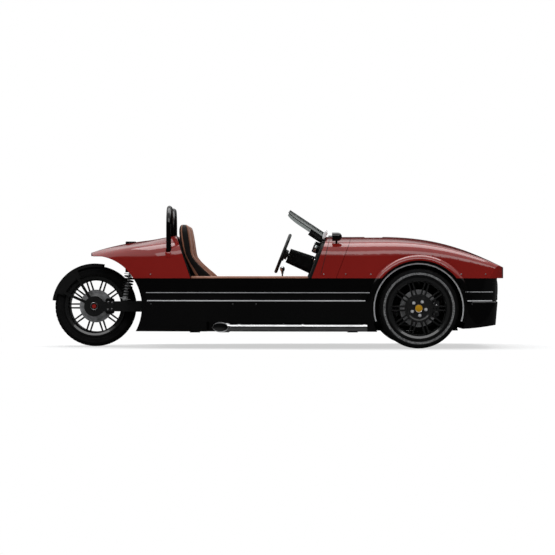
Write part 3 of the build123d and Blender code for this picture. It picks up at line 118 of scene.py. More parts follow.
def noise(material, scale, detail, stretch=EVEN):
    """Noise in the object's own coordinates."""
    tree = material.node_tree
    space = own_space(tree, stretch)
    return add_node(tree, "TexNoise", {"Vector": space}, Scale=scale, Detail=detail).outputs["Fac"]


def cells(material, scale):
    """Distance to the edges of small cells, for grain."""
    tree = material.node_tree
    node = add_node(tree, "TexVoronoi", {"Vector": own_space(tree, EVEN)}, Scale=scale)
    node.feature = "DISTANCE_TO_EDGE"
    return node.outputs["Distance"]


def tone_ramp(tree, source, stops):
    """Colour ramp over two stops of position and colour."""
    ramp = add_node(tree, "ValToRGB", {"Fac": source})
    for element, (position, color) in zip(ramp.color_ramp.elements, stops):
        element.position = position
        element.color = (*color, 1.0)
    return ramp.outputs["Color"]


def vary_color(material, scale, dark, light, stretch=EVEN):
    """Base colour that drifts between two tones."""
    tree = material.node_tree
    tones = tone_ramp(tree, noise(material, scale, 6.0, stretch), ((0.32, dark), (0.68, light)))
    tree.links.new(tones, shader_of(material).inputs["Base Color"])


def vary_rough(material, scale, low, high, stretch=EVEN):
    """Roughness that drifts between two values."""
    tree = material.node_tree
    grain = noise(material, scale, 5.0, stretch)
    span = add_node(tree, "MapRange", {"Value": grain}, To_Min=low, To_Max=high)
    tree.links.new(span.outputs["Result"], shader_of(material).inputs["Roughness"])


def add_bump(material, height, strength, distance):
    """Surface relief from one height output; a second call stacks on the first."""
    normal = shader_of(material).inputs["Normal"]
    sources = {"Height": height}
    if normal.links:
        sources["Normal"] = normal.links[0].from_socket
    relief = add_node(material.node_tree, "Bump", sources, Strength=strength, Distance=distance)
    material.node_tree.links.new(relief.outputs["Normal"], normal)


def paint(name, dark, light, coat, rough, specular=0.15):
    """Gloss car paint: tone drift, fine flake and faint orange peel under a clear coat."""
    material = new_material(name, light, rough, 0.0, Coat_Weight=coat, Coat_Roughness=0.03, Coat_IOR=1.65,
                            Specular_IOR_Level=specular)
    vary_color(material, 2.2, dark, light)
    vary_rough(material, 900.0, rough * 0.85, rough * 1.15)
    add_bump(material, noise(material, 55.0, 2.0), 0.012, 0.002)
    return material


def coated(name, dark, light, low, high, grain, metal=0.0, specular=0.5, drift=14.0):
    """Powder coat, cast metal or moulded plastic with a fine grain."""
    material = new_material(name, light, high, metal, Specular_IOR_Level=specular)
    vary_color(material, drift, dark, light)
    vary_rough(material, 60.0, low, high)
    add_bump(material, noise(material, grain, 6.0), 0.18, 0.0006)
    return material


def turned_metal(name, dark, light, low, high, stretch):
    """Ground or turned metal with streaks along one direction."""
    material = new_material(name, light, high, 1.0)
    vary_color(material, 40.0, dark, light, stretch)
    vary_rough(material, 120.0, low, high, stretch)
    add_bump(material, noise(material, 220.0, 3.0, stretch), 0.08, 0.0003)
    return material


def leather(name, dark, light, grain=420.0, sheen=0.12, specular=0.4):
    """Leather: cell grain, creases, worn tone and a soft sheen."""
    material = new_material(name, light, 0.5, 0.0, Sheen_Weight=sheen, Sheen_Roughness=0.5,
                            Specular_IOR_Level=specular)
    vary_color(material, 9.0, dark, light)
    vary_rough(material, 35.0, 0.38, 0.62)
    add_bump(material, cells(material, grain), 0.35, 0.0008)
    add_bump(material, noise(material, 28.0, 5.0), 0.12, 0.003)
    return material


def glass(name, color, rough):
    """Clear glass with a faint drift of tone."""
    material = new_material(name, color, rough, 0.0, Transmission_Weight=1.0, IOR=1.12)
    vary_color(material, 3.0, [tone * 0.94 for tone in color], color)
    return material


def ribbed_lens(name, color, dark, light):
    """Coloured lamp plastic with a cell relief under a coat."""
    material = new_material(name, color, 0.12, 0.0, Coat_Weight=0.6)
    vary_color(material, 40.0, dark, light)
    add_bump(material, cells(material, 180.0), 0.4, 0.002)
    return material


RED = paint("red_paint", (0.225, 0.0110, 0.0082), (0.252, 0.0130, 0.0098), 1.0, 0.5, 0.02)
BLACK = paint("black_paint", (0.0006, 0.0006, 0.0007), (0.0012, 0.0012, 0.0013), 0.7, 0.4, 0.02)
FRAME = coated("frame_black", (0.003, 0.003, 0.0032), (0.006, 0.006, 0.0063), 0.42, 0.6, 900.0)
PLASTIC = coated("black_plastic", (0.0025, 0.0025, 0.0025), (0.005, 0.005, 0.005), 0.5, 0.7, 1400.0, 0.0, 0.3)
TRIM = coated("trim_black", (0.003, 0.0028, 0.0028), (0.006, 0.0057, 0.0055), 0.55, 0.75, 700.0, 0.0, 0.15)
RIM = paint("rim_black", (0.006, 0.006, 0.0062), (0.012, 0.012, 0.0122), 0.8, 0.3, 0.3)
TYRE = coated("tyre_rubber", (0.0018, 0.0018, 0.0019), (0.0045, 0.0045, 0.0047), 0.62, 0.85, 500.0, 0.0, 0.2)
# Sidewall tone running from near black to light grey in fine speckle: painted highlight where the sidewall
# ribs catch the light, on rubber as dark as the tread.
SIDEWALL_HIGHLIGHT = coated("tyre_sidewall_highlight", (0.006, 0.006, 0.0062), (0.30, 0.30, 0.302), 0.5, 0.8, 500.0,
                  drift=110.0)
TAN = leather("tan_leather", (0.235, 0.092, 0.051), (0.33, 0.135, 0.078))
DARK_LEATHER = leather("dark_leather", (0.003, 0.0024, 0.0022), (0.008, 0.0062, 0.0056), 420.0, 0.02, 0.2)
GRIP = leather("grip_leather", (0.006, 0.006, 0.006), (0.014, 0.0135, 0.013), 900.0)
DISC = coated("disc_steel", (0.22, 0.22, 0.22), (0.62, 0.62, 0.63), 0.35, 0.55, 300.0, 0.2, 0.5, 26.0)
IRON = coated("forged_iron", (0.018, 0.018, 0.019), (0.05, 0.05, 0.052), 0.45, 0.7, 380.0)
CHROME = turned_metal("bright_chrome", (0.62, 0.62, 0.63), (0.80, 0.80, 0.81), 0.06, 0.13, (0.2, 1.0, 1.0))
ALLOY = turned_metal("rail_alloy", (0.45, 0.45, 0.46), (0.68, 0.68, 0.69), 0.2, 0.34, (1.0, 0.1, 1.0))
CAST = coated("cast_alloy", (0.24, 0.24, 0.245), (0.40, 0.40, 0.41), 0.4, 0.65, 260.0, 0.9)
STEEL = turned_metal("shaft_steel", (0.22, 0.22, 0.225), (0.36, 0.36, 0.37), 0.28, 0.42, (1.0, 0.1, 1.0))
WHITE_COAT = coated("spring_white", (0.50, 0.50, 0.50), (0.66, 0.66, 0.66), 0.28, 0.4, 600.0)
EXHAUST = turned_metal("exhaust_chrome", (0.58, 0.58, 0.59), (0.84, 0.84, 0.85), 0.08, 0.2, (0.2, 1.0, 1.0))
SILVER = paint("trim_silver", (0.50, 0.50, 0.51), (0.64, 0.64, 0.65), 0.4, 0.3, 0.5)
# Near-white satin; on the arch beads this tone also paints the highlight along the arch's lip.
WHITE_METAL = paint("bright_satin", (0.74, 0.74, 0.75), (0.86, 0.86, 0.87), 0.4, 0.3, 0.5)
SCREEN = glass("screen_glass", (0.30, 0.33, 0.32), 0.0)
LENS = glass("lamp_lens", (0.95, 0.97, 0.98), 0.0)
TAIL = ribbed_lens("tail_lens", (0.30, 0.004, 0.004), (0.20, 0.003, 0.003), (0.36, 0.006, 0.005))
STRIPE = coated("stripe_silver", (0.36, 0.36, 0.37), (0.50, 0.50, 0.51), 0.35, 0.5, 600.0)
YELLOW = paint("cap_yellow", (0.42, 0.20, 0.004), (0.62, 0.33, 0.008), 0.4, 0.35)
CAP_RED = paint("cap_red", (0.26, 0.008, 0.006), (0.42, 0.014, 0.010), 0.4, 0.35)
DIAL = coated("dial_black", (0.004, 0.004, 0.004), (0.007, 0.007, 0.007), 0.5, 0.7, 900.0)
MARK = coated("dial_marks", (0.55, 0.55, 0.54), (0.72, 0.72, 0.70), 0.45, 0.6, 800.0)
SEAM = coated("seam_shadow", (0.010, 0.001, 0.001), (0.018, 0.002, 0.0015), 0.6, 0.8, 900.0)

NODE_MATERIALS = {
    RED: ("hood", "cowl", "rear_deck"),
    BLACK: ("side_panel_left", "side_panel_right", "front_bumper", "rear_panels", "roll_hoop_left",
            "roll_hoop_right", "mirrors"),
    FRAME: ("floor_pan", "firewall", "rear_frame", "front_subframe", "wishbones", "swing_arm", "rear_spring",
            "screen_rail"),
    PLASTIC: ("hood_vent", "fuel_cap", "grille", "wheel_liners", "rear_fender"),
    TRIM: ("rear_bulkhead", "dashboard", "steering_column", "tunnel", "gear_lever"),
    TAN: ("cockpit_trims",),
    GRIP: ("steering_wheel",),
    RIM: ("front_rim_left", "front_rim_right", "rear_rim"),
    DISC: ("front_disc_left", "front_disc_right", "rear_disc"),
    IRON: ("front_knuckle_left", "front_knuckle_right"),
    EXHAUST: ("exhaust_pipe",),
    CAST: ("engine", "radiator"),
    STEEL: ("half_shafts", "steering_rack"),
    WHITE_COAT: ("rear_damper",),
    SCREEN: ("windscreen",),
    TAIL: ("tail_lamps",),
}
for material, names in NODE_MATERIALS.items():
    for name in names:
        NODES[name].data.materials.clear()
        NODES[name].data.materials.append(material)


# Mesh helpers

def add_piece(name, mesh_builder, materials, body, slot=None, smooth_deg=35.0):
    """New object from a bmesh, shaded smooth below an angle, riding on a body."""
    mesh = bpy.data.meshes.new(name)
    bmesh.ops.remove_doubles(mesh_builder, verts=mesh_builder.verts, dist=1e-6)
    bmesh.ops.recalc_face_normals(mesh_builder, faces=mesh_builder.faces)
    for face in mesh_builder.faces:
        face.smooth = True
    for edge in mesh_builder.edges:
        if len(edge.link_faces) == 2:
            edge.smooth = edge.calc_face_angle(0.0) < math.radians(smooth_deg)
    mesh_builder.to_mesh(mesh)
    mesh_builder.free()
    for material in materials if isinstance(materials, (list, tuple)) else [materials]:
        mesh.materials.append(material)
    piece = bpy.data.objects.new(name, mesh)
    bpy.context.scene.collection.objects.link(piece)
    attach(piece, body)
    return piece


def basis(axis):
    """Two directions square to an axis and to each other."""
    axis = Vector(axis).normalized()
    side = axis.orthogonal().normalized()
    return axis, side, axis.cross(side)


def add_grid(builder, rows, close_rows=False, close_columns=False, material_of=None):
    """Quads over rows of points."""
    verts = [[builder.verts.new(point) for point in row] for row in rows]
    row_count, column_count = len(verts), len(verts[0])
    for i in range(row_count if close_rows else row_count - 1):
        for j in range(column_count if close_columns else column_count - 1):
            i2, j2 = (i + 1) % row_count, (j + 1) % column_count
            face = builder.faces.new((verts[i][j], verts[i2][j], verts[i2][j2], verts[i][j2]))
            if material_of:
                face.material_index = material_of(i, j)
    return verts


def add_loft(builder, loops, material_of=None):
    """Skin over a row of closed loops, with both ends filled."""
    verts = add_grid(builder, loops, close_columns=True, material_of=material_of)
    builder.faces.new(verts[0])
    builder.faces.new(list(reversed(verts[-1])))


def circle(count, shift=0.0):
    """Cosine and sine of equal turns all round."""
    turns = [2 * math.pi * (index + shift) / count for index in range(count)]
    return [(math.cos(turn), math.sin(turn)) for turn in turns]


def add_turned(builder, centre, axis, profile, segments, closed=False):
    """Turned form from a profile of radius and distance along the axis."""
    axis, side, up = basis(axis)
    centre = Vector(centre)
    rows = []
    for c, s in circle(segments):
        out = side * c + up * s
        rows.append([centre + axis * along + out * max(radius, 1e-5) for radius, along in profile])
    add_grid(builder, rows, close_rows=True, close_columns=closed)


def turned_piece(name, centre, axis, profile, segments, material, body, slot=None, closed=False):
    """One turned form as a piece of its own."""
    builder = bmesh.new()
    add_turned(builder, centre, axis, profile, segments, closed)
    return add_piece(name, builder, material, body, slot)


def scaled(profile, radius):
    """Profile whose radii are given as shares of one radius."""
    return [(radius * share, along) for share, along in profile]


def spread(first, last, count):
    """Values from the first to the last in equal steps."""
    return [first + (last - first) * index / count for index in range(count + 1)]


def sweep(first, last, count):
    """Turns in radians between two angles in degrees, in equal steps."""
    return [math.radians(angle) for angle in spread(first, last, count)]


def spline(a, b, c, d, u):
    """Smooth value between b and c, with a and d as their neighbours."""
    square, cube = 2 * a - 5 * b + 4 * c - d, 3 * b - a - 3 * c + d
    return 0.5 * (2 * b + (c - a) * u + square * u * u + cube * u ** 3)


def add_tube(builder, points, radius, sides):
    """Round tube through points, with flat ends."""
    points = [Vector(point) for point in points]
    rows = []
    up = None
    for index, point in enumerate(points):
        before = points[max(index - 1, 0)]
        after = points[min(index + 1, len(points) - 1)]
        along = (after - before).normalized()
        up = along.orthogonal() if up is None else up - along * up.dot(along)
        up.normalize()
        side = along.cross(up)
        rows.append([point + up * radius * c + side * radius * s for c, s in circle(sides)])
    add_loft(builder, rows)


def add_fastener(builder, place, axis, radius, height):
    """Domed six-sided screw or nut head with a washer."""
    wide, foot = radius * 1.35, radius * 1.05
    washer = [(0.0, -height * 0.4), (wide, -height * 0.4), (wide, height * 0.18), (foot, height * 0.3)]
    head = [(foot, height * 0.2), (radius, height * 0.8), (radius * 0.72, height), (0.0, height)]
    add_turned(builder, place, axis, washer, 24)
    add_turned(builder, place, axis, head, 6)


def add_ball(builder, centre, radius):
    made = bmesh.ops.create_uvsphere(builder, u_segments=20, v_segments=12, radius=radius)
    bmesh.ops.translate(builder, verts=made["verts"], vec=centre)


TREES = {}


def surface(node, origin, direction):
    """Point and normal where a ray from outside first meets a node."""
    if node not in TREES:
        TREES[node] = BVHTree.FromObject(NODES[node], bpy.context.evaluated_depsgraph_get())
    place, normal, _, _ = TREES[node].ray_cast(Vector(origin), Vector(direction))
    return place, normal


def flank_point(node, x, z, sign):
    """Point on a body side at x and z."""
    return surface(node, (x, sign * 2.0, z), (0, -sign, 0))


# Wheels

# columns: share of the sidewall's height, bulge, rib share
WALL_ROWS = (
    (0.03, -0.006, 0.0), (0.06, -0.001, 0.0), (0.12, -0.001, 0.0), (0.15, -0.005, 0.0), (0.30, -0.0015, 0.0),
    (0.32, -0.001, 1.0), (0.46, 0.0, 1.0), (0.60, -0.0004, 1.0), (0.62, -0.0006, 0.0), (0.70, 0.0008, 0.0),
    (0.76, 0.0004, 0.0), (0.86, -0.0035, 0.0), (0.93, -0.0055, 0.0),
)
# turned profiles: radius, distance out along the axis
FRONT_CAP = [(0.029, -0.003), (0.029, 0.003), (0.0262, 0.0046), (0.0, 0.0052)]
CAP_RING = [(0.029, -0.003), (0.0325, -0.003), (0.0325, 0.004), (0.031, 0.0058), (0.029, 0.0045)]
VALVE = [(0.0, 0.0), (0.0055, 0.0), (0.0055, 0.012), (0.004, 0.014), (0.004, 0.032), (0.0, 0.033)]
REAR_CAP = [(0.031, -0.003), (0.031, 0.0035), (0.027, 0.005), (0.0, 0.0056)]
AXLE_NUT = [(0.0, 0.0005), (0.0, 0.012), (0.010, 0.0125), (0.0165, 0.011), (0.018, 0.0005)]
AXLE_RING = [(0.024, -0.002), (0.033, -0.002), (0.033, 0.005), (0.030, 0.0085), (0.024, 0.007)]


def tyre_profile(width, outer_r):
    """Outer skin from bead to bead: Y, radius, depth share of the sipes and of the sidewall ribs."""
    half = width / 2
    bead_y = half - 0.0153
    side = [(bead_y, BEAD_R + 0.004, 0.0, 0.0), (bead_y, LIP_R + 0.002, 0.0, 0.0)]
    wall = outer_r - 0.012 - LIP_R
    for share, bulge, rib in WALL_ROWS:
        side.append((half + bulge, LIP_R + wall * share, 0.0, rib))
    side.append((half - 0.0091, outer_r - 0.0117, 0.0, 0.0))
    side.append((half - 0.015, outer_r - 0.0075, 0.8, 0.0))
    side.append((half - 0.0234, outer_r - 0.0036, 1.0, 0.0))

    def crown(y):
        return outer_r - 0.0036 * (y / (half - 0.0234)) ** 2

    grooves = [half * share for share in (0.62, 0.22)]
    tread = []
    for centre in grooves:
        tread += [(centre + 0.0055, 1.0, 0.0), (centre + 0.004, 0.0, 0.0065), (centre - 0.004, 0.0, 0.0065),
                  (centre - 0.0055, 0.45, 0.0)]
    for y, cut, sunk in tread:
        side.append((y, crown(y) - sunk, cut, 0.0))
    return side + [(-y, r, cut, rib) for y, r, cut, rib in reversed(side)]


def add_tyre(name, node, hub, body, wall_material):
    """Road tyre with circumferential grooves, shoulder blocks and sidewall ribs."""
    low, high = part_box(node)
    width, outer_r = high.y - low.y, (high.z - low.z) / 2
    profile = tyre_profile(width, outer_r - 0.0003)
    segments = 288
    sipe, notch, rib_step = 0.005, 0.002, 0.0012
    rows = []
    for index, (c, s) in enumerate(circle(segments)):
        row = []
        for y, radius, cut, rib in profile:
            phase = index if y > 0 else index + 2
            deep = sipe if phase % 5 == 0 else 0.0
            depth = deep * cut if cut >= 0.8 else (notch * cut if phase % 10 == 0 else 0.0)
            r = radius - depth
            across = y - math.copysign(rib_step * rib * (index % 2), y)
            row.append(hub + Vector((r * c, across, r * s)))
        rows.append(row)
    builder = bmesh.new()
    # The rib band takes the second material; on the front tyres this is a light grey speckle, a painted
    # highlight of the sidewall.
    add_grid(builder, rows, close_rows=True, close_columns=True,
             material_of=lambda i, j: 1 if profile[j][3] and profile[(j + 1) % len(profile)][3] else 0)
    piece = add_piece(name, builder, [TYRE, wall_material], body, "tyre_rubber", 28.0)
    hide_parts(node)


def add_wheel_nuts(name, rim, hub, outward, first, step, material, body):
    """Five nuts on a rim's face, from a first angle on by equal steps."""
    nuts = bmesh.new()
    for index in range(5):
        turn = math.radians(first + step * index)
        offset = Vector((math.cos(turn), 0, -math.sin(turn))) * NUT_CIRCLE_R
        place, _ = surface(rim, hub + offset + outward, -outward)
        add_fastener(nuts, place, outward, 0.0095, 0.014)
    add_piece(name, nuts, material, body, "bright_chrome")


def dress_front_wheel(side):
    """Tyre, nuts, yellow centre cap with its ring, valve and caliper bolts."""
    sign = SIDE_SIGN[side]
    hub = FRONT_HUB[side]
    body = "wheel_front_" + side
    # The front tyres' rib band is painted with a light grey highlight.
    add_tyre("tyre_front_" + side, "front_tyre_" + side, hub, body, SIDEWALL_HIGHLIGHT)
    rim = "front_rim_" + side
    outward = Vector((0, sign, 0))
    add_wheel_nuts("lug_nuts_" + side, rim, hub, outward, 10, 72, SILVER, body)
    place, _ = surface(rim, hub + outward, -outward)
    turned_piece("centre_cap_" + side, place, outward, FRONT_CAP, 40, YELLOW, body)
    turned_piece("cap_ring_" + side, place, outward, CAP_RING, 40, CHROME, body, "bright_chrome", True)
    valve_foot = hub + Vector((0.0, 0.0, 0.208)) + outward * 0.075
    valve_axis = Vector((0, sign * 0.8, -0.6))
    turned_piece("valve_" + side, valve_foot, valve_axis, VALVE, 12, PLASTIC, body, "black_plastic")

    def on_caliper(dx, dz):
        return surface("front_knuckle_" + side, hub + Vector((dx, sign * 0.5, dz)), -outward)[0]

    clips = bmesh.new()
    for dx, dz in ((0.118, 0.044), (0.118, -0.044), (0.142, 0.022), (0.142, -0.022)):
        add_fastener(clips, on_caliper(dx, dz), outward, 0.0075, 0.006)
    add_tube(clips, [on_caliper(0.128, -0.05), on_caliper(0.128, 0.05)], 0.004, 10)
    add_piece("caliper_clips_" + side, clips, CHROME, "knuckle_" + side, "bright_chrome")


def around(hub, turn, radius, y):
    """Point at a turn and a radius about a wheel's axis, at Y."""
    return Vector((hub.x + radius * math.cos(turn), y, hub.z + radius * math.sin(turn)))


def add_arch_beads():
    """Bright bead along the lip of each front wheel opening; its near-white tone is partly its own satin
    finish and partly a painted highlight along the arch's lip.
    """
    bead_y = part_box("wheel_liners")[1].y + 0.004
    bead_r = ARCH_LIP_R + 0.0005
    for side, sign in SIDE_SIGN.items():
        points = [around(FRONT_HUB[side], turn, bead_r, sign * bead_y) for turn in sweep(-17, 197, 96)]
        bead = bmesh.new()
        add_tube(bead, points, 0.0062, 12)
        add_piece("arch_bead_" + side, bead, WHITE_METAL, "chassis", "rail_alloy")


def add_liner_walls():
    """Inner wall and outer lip of each front wheel liner, so that the arch is closed behind the wheel."""
    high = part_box("wheel_liners")[1]
    outer_r = high.z - FRONT_HUB["left"].z - 0.001
    thick = 0.003
    for side, sign in SIDE_SIGN.items():
        walls = bmesh.new()
        for y, inner_r in ((ARCH_WALL_Y, ARCH_WALL_R), (high.y - 0.0035, ARCH_LIP_R)):
            section = ((outer_r, y), (inner_r, y), (inner_r, y + thick), (outer_r, y + thick))
            add_loft(walls, [[around(FRONT_HUB[side], turn, r, sign * across) for r, across in section]
                             for turn in sweep(-17.5, 197.5, 96)])
        add_piece("liner_walls_" + side, walls, PLASTIC, "chassis", "black_plastic")


def add_fender_lips():
    """Narrow lip down each side of the rear fender, over the gap above the tyre."""
    low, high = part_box("rear_fender")
    outer_r = (REAR_HUB.x - low.x) / math.cos(math.radians(8.0))
    inner_r = outer_r - 0.0275
    face_y, back_y = high.y - 0.0005, high.y - 0.004
    section = ((outer_r - 0.0005, back_y), (outer_r - 0.0015, face_y), (inner_r, face_y),
               (inner_r - 0.0015, high.y - 0.0025), (inner_r, back_y))
    lips = bmesh.new()
    for sign in (1, -1):
        add_loft(lips, [[around(REAR_HUB, turn, radius, REAR_HUB.y + sign * y) for radius, y in section]
                        for turn in sweep(80.0, 172.0, 60)])
    add_piece("fender_lips", lips, PLASTIC, "chassis", "black_plastic")


def dress_rear_wheel():
    """Tyre, nuts and cap on the free side, and the red axle nut and bolts on the swing arm."""
    body = "wheel_rear"
    left, right = Vector((0, 1, 0)), Vector((0, -1, 0))
    add_tyre("tyre_rear", "rear_tyre", REAR_HUB, body, TYRE)
    add_wheel_nuts("lug_nuts_rear", "rear_rim", REAR_HUB, left, -18, -72, CHROME, body)
    place, _ = surface("rear_rim", REAR_HUB + left, -left)
    turned_piece("centre_cap_rear", place, left, REAR_CAP, 40, YELLOW, body)
    arm_face = Vector((REAR_HUB.x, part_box("swing_arm")[0].y, REAR_HUB.z))
    turned_piece("axle_nut", arm_face, right, AXLE_NUT, 32, CAP_RED, body)
    turned_piece("axle_ring", arm_face, right, AXLE_RING, 48, ALLOY, "chassis", "rail_alloy", True)
    bolts = bmesh.new()
    for dx, dz in ((0.115, 0.031), (0.148, 0.026), (0.112, -0.030), (0.145, -0.026)):
        place, _ = surface("swing_arm", REAR_HUB + Vector((dx, -1.0, dz)), left)
        if place:
            add_fastener(bolts, place, right, 0.008, 0.009)
    add_piece("arm_bolts", bolts, STEEL, "chassis", "shaft_steel")


for side in ("left", "right"):
    dress_front_wheel(side)
dress_rear_wheel()
add_arch_beads()
add_fender_lips()
add_liner_walls()


# Body trim

def side_strip(builder, node, x_from, x_to, z, sign, steps):
    """Flat raised strip along a body side at one height, with its edges sunk to the skin."""
    half, flat, lift, sunk = 0.00325, 0.002275, 0.0008, 0.0004
    outward = Vector((0, sign, 0))
    rows = []
    for x in spread(x_from, x_to, steps):
        place, _ = flank_point(node, x, z, sign)
        if place:
            inner, face = place - outward * sunk, place + outward * lift
            rows.append([inner - UP * half, face - UP * flat, face + UP * flat, inner + UP * half])
    add_loft(builder, rows)


def add_stripes():
    """Pinstripe along the black flank and the bumper's sides, and a bright trim on the ledge below it."""
    for side, sign in SIDE_SIGN.items():
        panel = "side_panel_" + side
        stripe = bmesh.new()
        side_strip(stripe, panel, -1.045, 0.725, STRIPE_Z, sign, 60)
        side_strip(stripe, "front_bumper", 1.478, 1.700, BUMPER_STRIPE_Z, sign, 16)
        add_piece("pinstripe_" + side, stripe, STRIPE, "chassis")
        ledge = bmesh.new()
        for node, x_from, x_to in ((panel, -1.035, 0.690), ("front_bumper", 1.492, 1.690)):
            points = []
            for x in spread(x_from, x_to, 60):
                place, _ = flank_point(node, x, LEDGE_Z + 0.012, sign)
                points.append(Vector((x, place.y + sign * 0.0062, LEDGE_Z + 0.0052)))
            add_tube(ledge, points, 0.0056, 12)
        add_piece("ledge_trim_" + side, ledge, SILVER, "chassis", "rail_alloy")


def add_screws(name, places, z, sign, radius, height, material, slot):
    """Screws on a body side at one height, at pairs of node and X."""
    screws = bmesh.new()
    for node, x in places:
        place, normal = flank_point(node, x, z, sign)
        if place:
            add_fastener(screws, place, normal if normal.y * sign > 0 else -normal, radius, height)
    add_piece(name, screws, material, "chassis", slot)


def add_body_screws():
    """Small screws along the belt and the lower flank."""
    upper = (("rear_deck", -1.010), ("cowl", 0.364), ("hood", 0.537), ("hood", 0.734), ("hood", 1.447),
             ("hood", 1.640))
    for side, sign in SIDE_SIGN.items():
        panel = "side_panel_" + side
        lower = ((panel, -1.005), (panel, -0.354), (panel, -0.169), ("front_bumper", 1.530))
        add_screws("body_screws_" + side, upper, BELT_Z + 0.031, sign, 0.0042, 0.0034, STEEL, "shaft_steel")
        add_screws("lower_screws_" + side, lower, LOWER_SCREW_Z, sign, 0.005, 0.004, IRON, "forged_iron")


def add_seams():
    """Second seam across the cowl, ahead of the dashboard."""
    slope = math.tan(math.radians(14.4))
    centre = Vector((0.336, 0, BELT_Z + 0.012))
    points = []
    for turn in sweep(1.0, 179.0, 120):
        out = Vector((slope * math.sin(turn), math.cos(turn), math.sin(turn)))
        place, _ = surface("cowl", centre + out * 1.3, -out)
        if place:
            points.append(place)
    lines = bmesh.new()
    add_tube(lines, points, 0.0022, 8)
    add_piece("cowl_seam", lines, SEAM, "chassis", "red_paint")


def flank(x, offset=0.0):
    """Half the body's width in plan at x, moved outward by offset."""
    return FLANK_W - FLANK_R + math.sqrt((FLANK_R + offset) ** 2 - (x - WIDEST_X) ** 2)


def add_exhaust():
    """Side pipe with clamps and a flared tip that is cut on the slant, open to the side."""
    low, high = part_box("exhaust_pipe")
    z = (low.z + high.z) / 2
    pipe_r, tip_r, rim = 0.0285, 0.0405, 0.008
    straight_end, flare_mid, flare_end = -0.362, -0.374, -0.386
    slash_mid, slash_half = -0.4515, 0.0620
    # columns: X, radius; the slash between outer and inner follows the slanted cut
    outer = [(high.x, pipe_r * 0.6)]
    outer += [(x, pipe_r) for x in spread(high.x, straight_end, 24)]
    outer += [(flare_mid, pipe_r * 1.16), (flare_end, tip_r)]
    inner = [(flare_end, tip_r - rim * 1.1), (-0.366, pipe_r * 0.9), (-0.360, 0.0)]
    lip = len(outer) - 1
    rows = []
    for out, up in circle(48):
        cut = slash_mid + slash_half * out
        slash = [(cut, tip_r), (cut - 0.0015, tip_r - rim * 0.5), (cut, tip_r - rim)]
        rows.append([Vector((x, -flank(x) - radius * out, z + radius * up))
                     for x, radius in outer + slash + inner])

    def material_of(_, j):
        """Pipe, dark inside or the cut's bright rim."""
        if j <= lip:
            return 0
        return 2 if j <= lip + 2 else 1

    pipe = bmesh.new()
    add_grid(pipe, rows, close_rows=True, material_of=material_of)
    clamp_r = pipe_r + 0.0035
    clamp = [(pipe_r, -0.011), (clamp_r, -0.010), (clamp_r, 0.010), (pipe_r, 0.011)]
    for x in (high.x - 0.022, 0.20, -0.30):
        add_turned(pipe, (x, -flank(x), z), AHEAD, clamp, 40)
    piece = add_piece("exhaust", pipe, [EXHAUST, DIAL, SILVER], "chassis", "bright_chrome")
    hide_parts("exhaust_pipe")


def add_bumper_skin():
    """Bumper with a front that leans back below the ledge and an underside that rises ahead of the wheels."""
    low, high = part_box("front_bumper")
    rise_from, rise_top, rise = 1.45, 0.36, 0.030
    step_back, lean = 0.014, 0.016
    skin = bmesh.new()
    skin.from_mesh(NODES["front_bumper"].data)
    for vert in skin.verts:
        if vert.co.z > LEDGE_Z + 0.001 or vert.co.x < rise_from:
            continue
        share = (vert.co.x - rise_from) / (high.x - rise_from)
        ahead = share * share * (3 - 2 * share)
        down = max((rise_top - vert.co.z) / (rise_top - low.z), 0.0)
        vert.co.x -= (step_back + lean * down) * ahead ** 4
        vert.co.z += rise * ahead * down
    piece = add_piece("bumper_skin", skin, BLACK, "chassis", "black_paint")
    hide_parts("front_bumper")


def add_undertray_flanges():
    """Folded flange under each front rail that closes the gap down to the tray."""
    floor_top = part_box("floor_pan")[0].z + 0.027
    rail_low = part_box("front_subframe")[0].z + 0.032
    inner_y, thick, fold = 0.300, 0.003, 0.0015
    flanges = bmesh.new()
    for sign in (1, -1):
        rows = []
        for index, x in enumerate(spread(0.745, 1.395, 24)):
            y = inner_y + (fold if index % 4 in (1, 2) else 0.0)
            corners = ((y, floor_top), (y, rail_low), (y + thick, rail_low), (y + thick, floor_top))
            rows.append([Vector((x, sign * across, z)) for across, z in corners])
        add_loft(flanges, rows)
    add_piece("undertray_flanges", flanges, FRAME, "chassis", "frame_black")


def add_hoop_cups():
    """Red collars where the hoops enter the deck."""
    low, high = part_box("roll_hoop_left")
    tube_r = (high.x - low.x) / 2
    x = (low.x + high.x) / 2
    cups = bmesh.new()
    for sign in (1, -1):
        for y, sunk in ((high.y - tube_r, 0.050), (low.y + tube_r, 0.014)):
            place, _ = surface("rear_deck", (x + tube_r * 2.0, sign * y, 2.0), (0, 0, -1))
            add_turned(cups, (x, sign * y, place.z - sunk), UP,
                       [(tube_r + 0.001, -0.030), (tube_r + 0.013, -0.030), (tube_r + 0.012, 0.002),
                        (tube_r + 0.007, 0.011), (tube_r + 0.001, 0.012)], 40, closed=True)
    add_piece("hoop_cups", cups, RED, "chassis", "red_paint")


add_stripes()
add_body_screws()
add_seams()
add_exhaust()
add_hoop_cups()
add_undertray_flanges()
add_bumper_skin()


# Lamps

# columns: name, turned profile as share of the lamp's radius and distance ahead of its front, segments,
# material, slot, closed profile
LAMP_PIECES = (
    ("headlamp_bowl_", ((1.0, -0.079), (1.0, -0.012), (0.93, -0.010), (0.88, -0.014), (0.55, -0.045),
                        (0.22, -0.058), (0.0, -0.058)), 64, CHROME, "bright_chrome", False),
    ("headlamp_lens_", ((0.90, -0.013), (0.88, -0.009), (0.6, -0.003), (0.0, -0.0005), (0.0, -0.003),
                        (0.6, -0.006), (0.86, -0.0125)), 64, LENS, "lamp_lens", False),
    ("headlamp_bezel_", ((0.985, -0.014), (0.985, -0.004), (0.93, -0.002), (0.89, -0.006), (0.89, -0.014)),
     64, BLACK, "black_paint", True),
    ("headlamp_projector_", ((0.0, -0.054), (0.30, -0.054), (0.33, -0.040), (0.30, -0.028), (0.2, -0.021),
                             (0.0, -0.019)), 40, STEEL, "shaft_steel", False),
)


